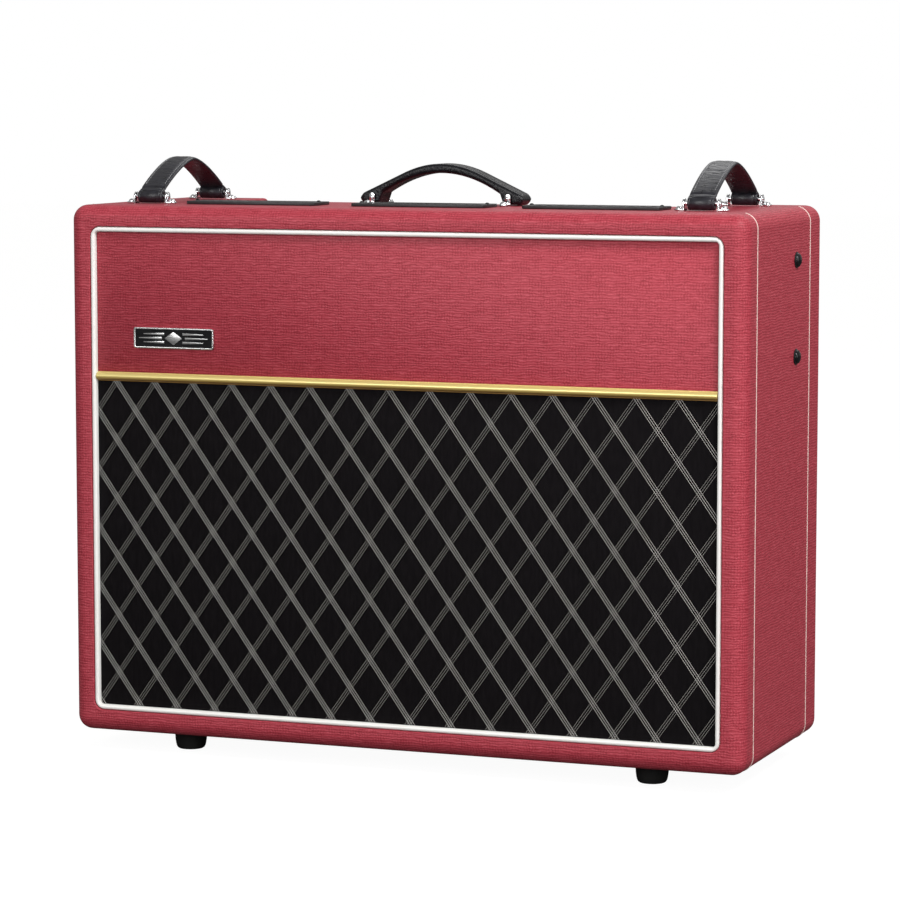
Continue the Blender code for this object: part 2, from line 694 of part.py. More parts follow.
# ---------------------------------------------------------------- chassis and electronics
def make_chassis():
    half = FIT_HALF_X
    top = 0.5180
    profile = [(-half, top), (-half, SHELF_BOTTOM), (half, SHELF_BOTTOM), (half, top),
               (half - SHEET, top), (half - SHEET, SHELF_BOTTOM + SHEET),
               (-half + SHEET, SHELF_BOTTOM + SHEET), (-half + SHEET, top)]
    rear = REAR_FLANGE_Y + SHEET
    chassis = part("chassis", flat_solid([profile], "XZ", -0.085, rear), "steel")
    join(chassis, box((-half + SHEET, REAR_FLANGE_Y, 0.345),
                      (half - SHEET, rear, SHELF_BOTTOM + SHEET / 2)))
    inlet_hole = box((INLET_X - 0.0141, REAR_FLANGE_Y - CUT, INLET_Z - 0.0111),
                     (INLET_X + 0.0141, rear + CUT, INLET_Z + 0.0111))
    cut(chassis, inlet_hole, bolt_holes(half - CUT, half + CUT))


def make_power_inlet():
    front = REAR_FLANGE_Y + SHEET + GAP
    inlet = part("power_inlet",
                 box((INLET_X - 0.0170, front, INLET_Z - 0.0140),
                     (INLET_X + 0.0170, front + 0.0022, INLET_Z + 0.0140)), "black_plastic")
    join(inlet, box((INLET_X - 0.0137, front - 0.0210, INLET_Z - 0.0107),
                    (INLET_X + 0.0137, front + 0.0010, INLET_Z + 0.0107)))
    cut(inlet, box((INLET_X - 0.0115, front - 0.0170, INLET_Z - 0.0085),
                   (INLET_X + 0.0115, front + CUT, INLET_Z + 0.0085)))


def make_valves():
    floor = SHELF_BOTTOM + SHEET + GAP
    power_profile = [(0.0, 0.0760), (0.0022, 0.0745), (0.0034, 0.0700), (0.0090, 0.0660),
                     (0.0108, 0.0610), (0.0108, 0.0130), (0.0128, 0.0110), (0.0128, 0.0),
                     (0.0, 0.0)]
    for index in range(4):
        centre = (-0.075 + 0.050 * index, 0.062, floor)
        part("power_valve_{}".format(index + 1), turned(power_profile, centre, "Z", 12), "glass")
    preamp_profile = [(0.0, 0.0540), (0.0085, 0.0530), (0.0118, 0.0490), (0.0118, 0.0),
                      (0.0, 0.0)]
    for index in range(3):
        centre = (-0.060 + 0.060 * index, -0.030, floor)
        part("preamp_valve_{}".format(index + 1), turned(preamp_profile, centre, "Z", 12),
             "steel")


def make_transformer(name, centre_x, centre_y, core, winding):
    """A laminated core with a winding cover through it; sizes are (x, y, z)."""
    floor = SHELF_BOTTOM + SHEET + GAP
    body = part(name, box((centre_x - core[0] / 2, centre_y - core[1] / 2, floor),
                          (centre_x + core[0] / 2, centre_y + core[1] / 2, floor + core[2])),
                "lamination")
    bevel(body, 0.002, 1)
    low = floor + (core[2] - winding[2]) / 2
    cover = box((centre_x - winding[0] / 2, centre_y - winding[1] / 2, low),
                (centre_x + winding[0] / 2, centre_y + winding[1] / 2, low + winding[2]))
    join(body, cover)


def make_reverb_tank():
    """A shallow sheet pan that stands on the cabinet floor with its open side down."""
    half_x, front, rear = 0.213, 0.000, 0.105
    low, height, sheet = INNER_BOTTOM + GAP, 0.034, 0.0012
    tank = part("reverb_tank", box((-half_x, front, low), (half_x, rear, low + height)), "steel")
    cut(tank, box((-half_x + sheet, front + sheet, low - CUT),
                  (half_x - sheet, rear - sheet, low + height - sheet)))


def make_chassis_bolts():
    profile = [(0.0, 0.0050), (0.0045, 0.0044), (0.0068, 0.0024), (0.0079, 0.0012),
               (0.0079, GAP), (0.0030, GAP), (0.0030, -0.0290), (0.0, -0.0290)]
    for side_name, side, axis in (("left", -1, "-X"), ("right", 1, "X")):
        for level, height in zip(("lower", "upper"), BOLT_HEIGHTS):
            part("chassis_bolt_{}_{}".format(side_name, level),
                 turned(profile, (side * CAB_WIDTH / 2, BOLT_Y, height), axis, 12), "black_steel")


def make_back_panels():
    half = CAVITY_HALF_X + BACK_REBATE - GAP
    front, rear = BACK_PANEL_Y, BACK_PANEL_Y + BACK_PANEL_THICKNESS
    upper = part("back_panel_upper",
                 box((-half, front, BACK_GAP[1]), (half, rear, CONTROL_TOP - GAP)), "red_vinyl")
    slot_count = 9
    slots = []
    for index in range(slot_count):
        x = (index - (slot_count - 1) / 2) * 0.055
        slots.append(box((x - 0.021, front - CUT, BACK_GAP[1] + 0.030),
                         (x + 0.021, rear + CUT, CONTROL_TOP - 0.040)))
    cut(upper, merged(slots))
    part("back_panel_lower",
         box((-half, front, INNER_BOTTOM - BACK_REBATE + GAP), (half, rear, BACK_GAP[0])),
         "red_vinyl")


make_cabinet_shell()
make_front()
make_front_trim()
make_vents()
make_feet()
make_straps()
make_centre_handle()
make_control_panel()
make_knobs()
make_toggles()
make_pilot_lamp()
make_input_jacks()
make_speakers()
make_chassis()
make_power_inlet()
make_valves()
make_transformer("power_transformer", 0.245, 0.010, (0.090, 0.050, 0.078), (0.068, 0.082, 0.056))
make_transformer("output_transformer", -0.245, 0.000, (0.072, 0.040, 0.064),
                 (0.054, 0.066, 0.046))
make_reverb_tank()
make_chassis_bolts()
make_back_panels()
bpy.context.view_layer.update()
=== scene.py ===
"""Looks of the two-speaker guitar combo amplifier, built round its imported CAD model.

Metres, +Z up, front towards -Y, +X to the right of someone facing the front. Every place
comes from the frame's own nodes or from the few driving sizes below.
"""

import math
import random

import bmesh
import bpy
from mathutils import Matrix, Vector, noise


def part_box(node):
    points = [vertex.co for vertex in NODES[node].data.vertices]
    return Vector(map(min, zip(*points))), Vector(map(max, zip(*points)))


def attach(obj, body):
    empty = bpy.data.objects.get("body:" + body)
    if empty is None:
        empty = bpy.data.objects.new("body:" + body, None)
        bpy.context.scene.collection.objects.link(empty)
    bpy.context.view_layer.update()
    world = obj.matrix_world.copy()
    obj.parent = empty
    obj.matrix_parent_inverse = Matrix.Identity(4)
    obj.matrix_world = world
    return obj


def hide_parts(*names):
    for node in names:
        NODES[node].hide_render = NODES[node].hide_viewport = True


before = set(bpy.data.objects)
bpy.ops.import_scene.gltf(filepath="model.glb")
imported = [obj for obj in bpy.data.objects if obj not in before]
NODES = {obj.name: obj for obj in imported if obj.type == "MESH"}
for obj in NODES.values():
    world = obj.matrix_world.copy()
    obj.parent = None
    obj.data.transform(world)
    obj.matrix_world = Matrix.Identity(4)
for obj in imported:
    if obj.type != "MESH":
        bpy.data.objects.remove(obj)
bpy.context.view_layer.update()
MM = 0.001
CABINET = "cabinet"

# ---------------------------------------------------------------- sizes from the frame
SHELL_LOW, SHELL_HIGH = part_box("cabinet_shell")
HALF_X = SHELL_HIGH.x
FRONT_Y, REAR_Y = SHELL_LOW.y, SHELL_HIGH.y
BOTTOM, TOP = SHELL_LOW.z, SHELL_HIGH.z
EDGE = 15 * MM                              # radius of the cabinet's rounded edges
PIPING_LOW, PIPING_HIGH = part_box("front_piping")
PIPING_WIDTH = 5 * MM
LIP_BACK_Y = PIPING_HIGH.y
PANEL_LOW, PANEL_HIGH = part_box("front_panel")
CLOTH_LOW, CLOTH_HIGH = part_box("grille_cloth")
STRIP_LOW, STRIP_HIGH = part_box("gold_strip")
BADGE_LOW, BADGE_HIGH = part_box("badge_plate")
CONTROL_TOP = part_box("control_panel")[1].z
GAP = 0.3 * MM                              # between the cabinet and what sits in its openings
CAVITY_HALF_X = PANEL_HIGH.x + GAP
CAVITY_LOW_Z = CLOTH_LOW.z - GAP
CAVITY_HIGH_Z = PANEL_HIGH.z + GAP
REAR_PANEL_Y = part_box("back_panel_upper")[0].y
VENTS = ("vent_left", "vent_centre", "vent_right")


def centre_of(node):
    low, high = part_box(node)
    return (low + high) / 2


def underside_of(node):
    """Middle of a node's underside."""
    middle = centre_of(node)
    return Vector((middle.x, middle.y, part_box(node)[0].z))


# ---------------------------------------------------------------- camera, stage, light
def make_camera():
    data = bpy.data.cameras.new("camera")
    data.lens = 140.9
    data.sensor_width = 36.0
    camera = bpy.data.objects.new("camera", data)
    camera.location = (1.2712, -3.2668, 0.6718)
    pitch_down, turn = math.radians(5.988), math.radians(21.19)
    camera.rotation_euler = (math.pi / 2 - pitch_down, 0.0, turn)
    bpy.context.scene.collection.objects.link(camera)
    bpy.context.scene.camera = camera


def area_light(name, location, target, size, power):
    data = bpy.data.lights.new(name, "AREA")
    data.shape = "RECTANGLE"
    data.size, data.size_y = size
    data.energy = power
    light = bpy.data.objects.new(name, data)
    light.location = location
    direction = Vector(target) - Vector(location)
    light.rotation_euler = direction.to_track_quat("-Z", "Y").to_euler()
    bpy.context.scene.collection.objects.link(light)


def make_lights():
    middle = (0.0, 0.0, 0.30)
    area_light("key_top_right", (1.9, -1.3, 2.6), middle, (0.9, 0.9), 60)
    area_light("front_soft", (-0.9, -3.6, 1.6), middle, (1.8, 1.8), 50)
    area_light("right_soft", (3.0, -0.6, 1.1), middle, (1.0, 1.8), 19)
    area_light("edge_strip", (1.7, -2.6, 0.7), (0.35, -0.1, 0.3), (0.16, 2.0), 20)
    area_light("top_soft", (0.2, 1.7, 2.2), (0.0, 0.1, 0.55), (2.4, 1.0), 16)
    make_world(0.33)


def make_world(strength):
    """White to the camera's eye, and a dimmer soft light on everything else."""
    world = bpy.data.worlds.new("studio")
    world.use_nodes = True
    tree = world.node_tree
    shown, lit = tree.nodes["Background"], tree.nodes.new("ShaderNodeBackground")
    shown.inputs["Strength"].default_value = 1.0
    shown.inputs["Color"].default_value = (1.0, 1.0, 1.0, 1.0)
    lit.inputs["Strength"].default_value = strength
    lit.inputs["Color"].default_value = (1.0, 0.985, 0.97, 1.0)
    path, mix = tree.nodes.new("ShaderNodeLightPath"), tree.nodes.new("ShaderNodeMixShader")
    tree.links.new(path.outputs["Is Camera Ray"], mix.inputs[0])
    tree.links.new(lit.outputs[0], mix.inputs[1])
    tree.links.new(shown.outputs[0], mix.inputs[2])
    tree.links.new(mix.outputs[0], tree.nodes["World Output"].inputs["Surface"])
    bpy.context.scene.world = world
    bpy.context.scene.view_settings.view_transform = "Standard"


# ---------------------------------------------------------------- materials
class Finish:
    """A Principled material, with short calls that wire procedural nodes into it."""

    def __init__(self, name, colour=(0.5, 0.5, 0.5), roughness=0.5, metallic=0.0, **constants):
        self.material = bpy.data.materials.new(name)
        self.material.use_nodes = True
        self.tree = self.material.node_tree
        self.shader = self.tree.nodes["Principled BSDF"]
        self.set("Base Color", (*colour, 1.0))
        self.set("Roughness", roughness)
        self.set("Metallic", metallic)
        for key, value in constants.items():
            self.set(key.replace("_", " "), value)
        self.normal = None

    def set(self, socket, value):
        if isinstance(value, bpy.types.NodeSocket):
            self.tree.links.new(value, self.shader.inputs[socket])
        else:
            self.shader.inputs[socket].default_value = value

    def node(self, kind, inputs=None, **settings):
        node = self.tree.nodes.new("ShaderNode" + kind)
        for key, value in settings.items():
            setattr(node, key, value)
        for key, value in (inputs or {}).items():
            if isinstance(value, bpy.types.NodeSocket):
                self.tree.links.new(value, node.inputs[key])
            else:
                node.inputs[key].default_value = value
        return node

    def place(self, scale, kind="Object"):
        """Coordinates in millimetres times scale: kind is Object or UV."""
        source = self.node("TexCoord").outputs[kind]
        scale = Vector(scale) * 1000.0
        return self.node("Mapping", {"Vector": source, "Scale": scale}).outputs[0]

    def noise(self, vector, scale=1.0, detail=3.0, roughness=0.5):
        inputs = {"Vector": vector, "Scale": scale, "Detail": detail, "Roughness": roughness}
        return self.node("TexNoise", inputs).outputs[0]

    def grain(self, scale, detail=3.0, roughness=0.5):
        """Noise in the object's millimetres times scale: one number, or one for each axis."""
        scale = scale if isinstance(scale, tuple) else (scale,) * 3
        return self.noise(self.place(scale), 1.0, detail, roughness)

    def math(self, operation, first, second=0.0):
        return self.node("Math", {0: first, 1: second}, operation=operation).outputs[0]

    def weighted(self, *terms):
        """Sum of (value, weight) terms."""
        total = 0.0
        for value, weight in terms:
            total = self.math("ADD", total, self.math("MULTIPLY", value, weight))
        return total

    def wave(self, value, sharpness=1.0):
        """0..1 sine of a phase given in whole turns; a high sharpness narrows the crests."""
        turned = self.math("MULTIPLY", value, 2 * math.pi)
        height = self.range(self.math("SINE", turned), -1.0, 1.0)
        return self.math("POWER", height, sharpness) if sharpness != 1.0 else height

    def split(self, vector):
        return self.node("SeparateXYZ", {0: vector}).outputs

    def join(self, x, y, z=0.0):
        return self.node("CombineXYZ", {0: x, 1: y, 2: z}).outputs[0]

    def paint(self, value, *stops):
        """Colour the surface by a value, through (position, colour) stops."""
        node = self.node("ValToRGB", {0: value})
        elements = node.color_ramp.elements
        while len(elements) < len(stops):
            elements.new(0.5)
        for element, (position, colour) in zip(elements, stops):
            element.position = position
            element.color = (*colour, 1.0)
        self.set("Base Color", node.outputs[0])

    def range(self, value, low, high, to_low=0.0, to_high=1.0):
        inputs = {0: value, 1: low, 2: high, 3: to_low, 4: to_high}
        return self.node("MapRange", inputs).outputs[0]

    def rough(self, value, low, high, smoothest, roughest):
        """Roughness that follows a value between low and high."""
        self.set("Roughness", self.range(value, low, high, smoothest, roughest))

    def bump(self, height, strength, distance):
        """Height in 0..1 raises the surface by distance millimetres."""
        inputs = {"Height": height, "Strength": strength, "Distance": distance * MM}
        if self.normal:
            inputs["Normal"] = self.normal
        self.normal = self.node("Bump", inputs).outputs[0]
        self.set("Normal", self.normal)


def make_vinyl(name, along, across, kind):
    """Red basket-weave vinyl: wavy ridges that run along u, crossed by a fine weave, with painted
    highlights on the crests and painted shade in the creases and weave gaps.

    along and across name the axes of the coordinates that run with and across the ridges.
    """
    ridge_pitch, tick_pitch = 2.7, 2.9
    finish = Finish(name, Specular_IOR_Level=0.33)
    axes = finish.split(finish.place((1, 1, 1), kind))
    u, v = axes[along], axes[across]

    def drift(along_scale, across_scale, seed, detail=2.0):
        return finish.noise(finish.join(finish.math("MULTIPLY", u, along_scale),
                                        finish.math("MULTIPLY", v, across_scale), seed),
                            1.0, detail)

    phase = finish.weighted((finish.math("DIVIDE", v, ridge_pitch), 1.0),
                            (drift(0.045, 0.10, 0.0), 1.7), (drift(0.19, 0.33, 7.0), 1.1))
    ridge = finish.wave(phase)
    # painted highlight: the thin crests of the ridges are lighter in colour, as well as raised in
    # the bump
    lit_crest = finish.math("MULTIPLY", finish.math("POWER", ridge, 5.0),
                        finish.range(drift(0.16, 0.40, 19.0, 3.0), 0.38, 0.62, 0.1, 1.0))
    # painted shade: the thin creases between the ridges are darker in colour, as well as sunk in
    # the bump
    shaded_crease = finish.math("MULTIPLY", finish.math("POWER", finish.math("SUBTRACT", 1.0, ridge), 5.0),
                         finish.range(drift(0.14, 0.42, 3.0, 3.0), 0.38, 0.62, 0.15, 1.0))
    # painted shade: the gaps of the fine weave are darker in colour, as well as sunk in the bump
    tick = finish.wave(finish.weighted((finish.math("DIVIDE", u, tick_pitch), 1.0),
                                       (drift(0.10, 0.30, 29.0), 1.6)), 3.0)
    weave = finish.math("MULTIPLY", tick, finish.range(drift(0.09, 0.12, 23.0), 0.40, 0.58))
    fine = finish.noise(finish.join(u, v), 0.95, 2.0, 0.6)
    height = finish.weighted((ridge, 0.22), (lit_crest, 0.34), (shaded_crease, -0.38), (weave, -0.40),
                             (fine, 0.48))
    patches = drift(0.06, 0.09, 11.0)
    # The colour follows the relief, so the crests carry painted highlights and the creases and
    # weave gaps painted shade; the patches are random tone.
    finish.paint(finish.weighted((height, 1.0), (patches, 0.25)),
                 (0.02, (0.290, 0.0215, 0.035)), (0.30, (0.385, 0.037, 0.056)),
                 (0.58, (0.440, 0.049, 0.072)), (0.90, (0.560, 0.090, 0.118)))
    finish.rough(fine, 0.3, 0.7, 0.40, 0.56)
    finish.bump(height, 0.70, 0.34)
    return finish.material


def make_plywood():
    finish = Finish("plywood", roughness=0.62)
    lines = finish.grain((0.012, 0.35, 0.35), 5.0, 0.62)
    figure = finish.grain((0.006, 0.05, 0.05), 2.0)
    finish.paint(finish.weighted((lines, 0.7), (figure, 0.4)), (0.30, (0.36, 0.20, 0.095)),
                 (0.55, (0.55, 0.36, 0.19)), (0.80, (0.66, 0.46, 0.27)))
    finish.bump(lines, 0.35, 0.2)
    return finish.material


def make_cloth():
    """Black woven grille cloth: a fine basket weave of dull threads."""
    pitch = 0.9
    finish = Finish("grille_cloth", roughness=0.9, Specular_IOR_Level=0.06)
    axes = finish.split(finish.place((1, 1, 1)))
    across, upright = (finish.wave(finish.math("DIVIDE", axes[i], pitch)) for i in (0, 2))
    weave = finish.math("MULTIPLY", across, upright)
    slubs = finish.grain((0.35, 0.35, 0.08))
    finish.paint(finish.weighted((weave, 0.6), (slubs, 0.45)), (0.15, (0.0035, 0.0030, 0.0036)),
                 (0.60, (0.0085, 0.0072, 0.0080)), (1.0, (0.022, 0.019, 0.020)))
    finish.bump(weave, 0.6, 0.25)
    return finish.material


def make_thread(name, dark, mid, light):
    """Twisted lattice thread; u runs across it, v along it, in millimetres."""
    finish = Finish(name, roughness=0.48, Sheen_Weight=0.2)
    axes = finish.split(finish.place((MM, MM, MM), "UV"))
    twist = finish.wave(finish.weighted((finish.math("DIVIDE", axes[1], 1.6), 1.0),
                                        (axes[0], 0.35)))
    finish.paint(finish.weighted((twist, 0.75), (finish.grain(0.5, 3.0, 0.6), 0.35)),
                 (0.18, dark), (0.55, mid), (0.95, light))
    finish.bump(twist, 0.5, 0.15)
    return finish.material


def make_piping():
    finish = Finish("white_piping", roughness=0.34, Coat_Weight=0.15, Coat_Roughness=0.3)
    finish.paint(finish.grain(0.03, 4.0), (0.3, (0.925, 0.905, 0.865)),
                 (0.7, (0.965, 0.955, 0.925)))
    finish.bump(finish.grain(0.9, 2.0), 0.15, 0.1)
    return finish.material


def make_gold():
    """Foil-backed plastic bead: pale above, and darker brown towards its underside, painted shade
    of its lower half.
    """
    finish = Finish("gold_bead", roughness=0.30, metallic=0.35, Coat_Weight=0.4,
                    Coat_Roughness=0.2)
    axes = finish.split(finish.place((1, 1, 1)))
    tone = finish.grain((0.004, 0.5, 0.5), 2.0)
    # painted shade: the colour runs by height from pale gold at the top to brown at the bottom
    rise = finish.range(axes[2], STRIP_LOW.z / MM, STRIP_HIGH.z / MM)
    finish.paint(finish.weighted((rise, 1.0), (tone, 0.10)), (0.24, (0.36, 0.19, 0.040)),
                 (0.40, (0.62, 0.43, 0.12)), (0.60, (0.77, 0.63, 0.23)))
    finish.bump(tone, 0.1, 0.05)
    return finish.material


def make_leather(name, tones, gloss, wrinkle, specular):
    """Smooth black hide: long wrinkles across it and fine pores."""
    finish = Finish(name, roughness=gloss, Specular_IOR_Level=specular)
    warped = finish.grain(0.18)
    folds = finish.range(finish.grain(wrinkle, 3.0, 0.6), 0.30, 0.66)
    dark, light = ((tone, tone, tone * 1.35) for tone in tones)
    finish.paint(warped, (0.3, dark), (0.7, light))
    finish.rough(warped, 0.3, 0.7, gloss - 0.04, gloss + 0.10)
    finish.bump(finish.weighted((folds, 1.0), (finish.grain(2.2, 2.0), 0.25)), 0.6, 0.30)
    return finish.material


def make_speckled(name, dark, light, roughness, metallic=0.0, scale=0.5, bump=0.1, **constants):
    """Moulded plastic, paint or metal: a slow mottle with a fine grain in its surface."""
    finish = Finish(name, roughness=roughness, metallic=metallic, **constants)
    mottle = finish.grain(scale * 0.12)
    finish.paint(mottle, (0.3, dark), (0.7, light))
    finish.rough(mottle, 0.25, 0.75, roughness * 0.82, roughness * 1.18)
    finish.bump(finish.grain(scale * 4, 2.0), 0.3, bump)
    return finish.material


def make_brushed(name, dark, light, roughness):
    finish = Finish(name, roughness=roughness, metallic=1.0)
    lines = finish.grain((0.02, 1.5, 1.5), 4.0, 0.6)
    finish.paint(lines, (0.3, dark), (0.7, light))
    finish.rough(lines, 0.3, 0.7, roughness * 0.8, roughness * 1.25)
    finish.bump(lines, 0.2, 0.06)
    return finish.material


def make_paper():
    """Speaker cone: pressed paper with fine fibres."""
    finish = Finish("cone_paper", roughness=0.88)
    fibres = finish.grain(0.9, 5.0, 0.65)
    finish.paint(fibres, (0.3, (0.012, 0.011, 0.010)), (0.7, (0.045, 0.040, 0.034)))
    finish.bump(fibres, 0.5, 0.3)
    return finish.material


def make_lamination():
    """Edges of stacked core sheets, lacquered."""
    finish = Finish("lamination", roughness=0.42, metallic=0.35)
    axes = finish.split(finish.place((1, 1, 1)))
    sheets = finish.wave(finish.math("DIVIDE", axes[1], 0.9))
    finish.paint(finish.weighted((sheets, 0.5), (finish.grain((0.08, 0.5, 0.08)), 0.5)),
                 (0.2, (0.010, 0.010, 0.012)), (0.8, (0.060, 0.060, 0.066)))
    finish.bump(sheets, 0.6, 0.2)
    return finish.material


def make_glass():
    finish = Finish("valve_glass", (0.93, 0.95, 0.94), 0.04, Transmission_Weight=1.0, IOR=1.45)
    finish.rough(finish.grain((0.2, 0.2, 0.05), 2.0), 0.3, 0.7, 0.02, 0.07)
    return finish.material


MAT = {
    "vinyl_uv": make_vinyl("red_vinyl", 0, 1, "UV"),
    "vinyl_flat": make_vinyl("red_vinyl_flat", 0, 2, "Object"),
    "plywood": make_plywood(),
    "cloth": make_cloth(),
    "thread_bright": make_thread("thread_bright", (0.66, 0.645, 0.60), (0.92, 0.905, 0.86),
                                 (1.0, 0.99, 0.96)),
    # the same thread as thread_bright in darker colours: painted shade on the rising threads
    "thread_dim": make_thread("thread_dim", (0.16, 0.153, 0.140), (0.46, 0.445, 0.415),
                              (0.66, 0.645, 0.61)),
    "piping": make_piping(),
    "side_piping": make_speckled("side_piping", (0.70, 0.50, 0.46), (0.84, 0.66, 0.60), 0.4,
                                 scale=1.2),
    "gold": make_gold(),
    "leather": make_leather("strap_leather", (0.009, 0.019), 0.30, (0.10, 0.36, 0.36), 0.5),
    "grip": make_leather("grip_leather", (0.003, 0.007), 0.24, (0.40, 0.40, 0.40), 0.28),
    "stitch": make_speckled("stitch_thread", (0.14, 0.14, 0.145), (0.30, 0.30, 0.31), 0.6,
                            scale=2.0),
    "chrome": make_speckled("chrome", (0.74, 0.75, 0.77), (0.84, 0.85, 0.86), 0.10, 1.0,
                            bump=0.02),
    "badge_silver": make_brushed("badge_silver", (0.66, 0.66, 0.66), (0.86, 0.86, 0.85), 0.26),
    "badge_black": make_speckled("badge_black", (0.003, 0.003, 0.0035), (0.006, 0.006, 0.007),
                                 0.30, bump=0.03, Specular_IOR_Level=0.25),
    "plastic": make_speckled("black_plastic", (0.010, 0.010, 0.011), (0.022, 0.022, 0.024), 0.42),
    "knob": make_speckled("knob_plastic", (0.011, 0.010, 0.010), (0.024, 0.022, 0.022), 0.30,
                          bump=0.04),
    "marking": make_speckled("white_marking", (0.74, 0.73, 0.70), (0.84, 0.83, 0.80), 0.5),
    "rubber": make_speckled("rubber", (0.006, 0.006, 0.006), (0.013, 0.013, 0.0125), 0.72,
                            bump=0.2, Specular_IOR_Level=0.25),
    "panel": make_brushed("panel_paint", (0.060, 0.016, 0.020), (0.085, 0.024, 0.029), 0.36),
    "steel": make_brushed("chassis_steel", (0.42, 0.43, 0.44), (0.58, 0.59, 0.60), 0.38),
    "black_steel": make_speckled("black_steel", (0.004, 0.004, 0.0045), (0.009, 0.009, 0.010),
                                 0.24, bump=0.03, Specular_IOR_Level=0.35),
    "grey_ring": make_speckled("grey_ring", (0.012, 0.012, 0.013), (0.022, 0.022, 0.024), 0.25,
                               0.3),
    "paper": make_paper(),
    "basket": make_speckled("speaker_metal", (0.035, 0.090, 0.062), (0.060, 0.135, 0.095), 0.40,
                            0.1, bump=0.15),
    "ferrite": make_speckled("ferrite", (0.020, 0.020, 0.022), (0.040, 0.040, 0.042), 0.55),
    "glass": make_glass(),
    "anode": make_speckled("anode", (0.045, 0.046, 0.050), (0.085, 0.086, 0.090), 0.45, 0.6),
    "getter": make_brushed("getter_silver", (0.30, 0.30, 0.31), (0.62, 0.62, 0.63), 0.15),
    "jewel": make_speckled("lamp_jewel", (0.50, 0.010, 0.008), (0.75, 0.030, 0.018), 0.07,
                           bump=0.02, Coat_Weight=0.6),
    "lamination": make_lamination(),
    "winding": make_speckled("winding_cover", (0.10, 0.045, 0.020), (0.17, 0.085, 0.040), 0.5),
    "gasket": make_speckled("cork_gasket", (0.16, 0.095, 0.050), (0.30, 0.19, 0.11), 0.85,
                            scale=2.0, bump=0.3),
    "brass": make_brushed("brass", (0.60, 0.40, 0.16), (0.80, 0.58, 0.27), 0.25),
}


# ---------------------------------------------------------------- mesh helpers
def smoothed(mesh, angle):
    mesh.shade_smooth()
    mesh.set_sharp_from_angle(angle=math.radians(angle))
    return mesh


def bm_mesh(bm, angle=35):
    """Finish a bmesh as a mesh that faces out and is smooth below the angle."""
    bmesh.ops.recalc_face_normals(bm, faces=bm.faces)
    mesh = bpy.data.meshes.new("mesh")
    bm.to_mesh(mesh)
    bm.free()
    return smoothed(mesh, angle)


def piece(name, mesh, material, body=CABINET, replaces=()):
    """Put a finished mesh, given in the row frame, on a body."""
    mesh.name = name
    for key in material if isinstance(material, (list, tuple)) else [material]:
        mesh.materials.append(MAT[key])
    obj = bpy.data.objects.new(name, mesh)
    bpy.context.scene.collection.objects.link(obj)
    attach(obj, body)
    if replaces:
        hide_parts(*replaces)
    return obj


def merged(meshes, angle=35):
    """Several closed meshes as one; each keeps its own material indices."""
    bm = bmesh.new()
    for mesh in meshes:
        bm.from_mesh(mesh)
        bpy.data.meshes.remove(mesh)
    return bm_mesh(bm, angle)


def tinted(mesh, index):
    for polygon in mesh.polygons:
        polygon.material_index = index
    return mesh


def moved(mesh, matrix):
    copy = mesh.copy()
    copy.transform(matrix)
    return copy


POINT_ALONG = {
    "Z": Matrix.Identity(4), "-Z": Matrix.Rotation(math.pi, 4, "X"),
    "X": Matrix.Rotation(math.pi / 2, 4, "Y"), "-X": Matrix.Rotation(-math.pi / 2, 4, "Y"),
    "Y": Matrix.Rotation(-math.pi / 2, 4, "X"), "-Y": Matrix.Rotation(math.pi / 2, 4, "X"),
}


def at(centre, axis="Z"):
    return Matrix.Translation(centre) @ POINT_ALONG[axis]


def mm(points):
    """Points given in millimetres, in metres."""
    return [(a * MM, b * MM) for a, b in points]


def lathe(profile, centre=(0, 0, 0), axis="Z", steps=48, angle=35):
    """Turn (radius, height) points about an axis; a radius of 0 closes the end."""
    bm = bmesh.new()
    rings = []
    for radius, height in profile:
        if radius == 0:
            rings.append([bm.verts.new((0, 0, height))])
            continue
        rings.append([bm.verts.new((radius * math.cos(2 * math.pi * i / steps),
                                    radius * math.sin(2 * math.pi * i / steps), height))
                      for i in range(steps)])
    pairs = list(zip(rings, rings[1:]))
    if len(rings[0]) > 1:
        pairs.append((rings[-1], rings[0]))
    for first, second in pairs:
        for i in range(steps):
            j = (i + 1) % steps
            corners = [first[i % len(first)], first[j % len(first)],
                       second[j % len(second)], second[i % len(second)]]
            bm.faces.new(list(dict.fromkeys(corners)))
    bm.transform(at(centre, axis))
    return bm_mesh(bm, angle)


def loft(rings, closed=False, angle=35):
    """Skin rings of equally many points; the ends are capped unless the loft is closed."""
    bm = bmesh.new()
    rows = [[bm.verts.new(point) for point in ring] for ring in rings]
    count = len(rings[0])
    pairs = list(zip(rows, rows[1:])) + ([(rows[-1], rows[0])] if closed else [])
    for first, second in pairs:
        for i in range(count):
            j = (i + 1) % count
            bm.faces.new((first[i], first[j], second[j], second[i]))
    if not closed:
        bm.faces.new(rows[0])
        bm.faces.new(list(reversed(rows[-1])))
    return bm_mesh(bm, angle)


PLANE = {
    "XY": Matrix.Identity(4),
    "XZ": Matrix(((1, 0, 0, 0), (0, 0, 1, 0), (0, 1, 0, 0), (0, 0, 0, 1))),
    "YZ": Matrix(((0, 0, 1, 0), (1, 0, 0, 0), (0, 1, 0, 0), (0, 0, 0, 1))),
}


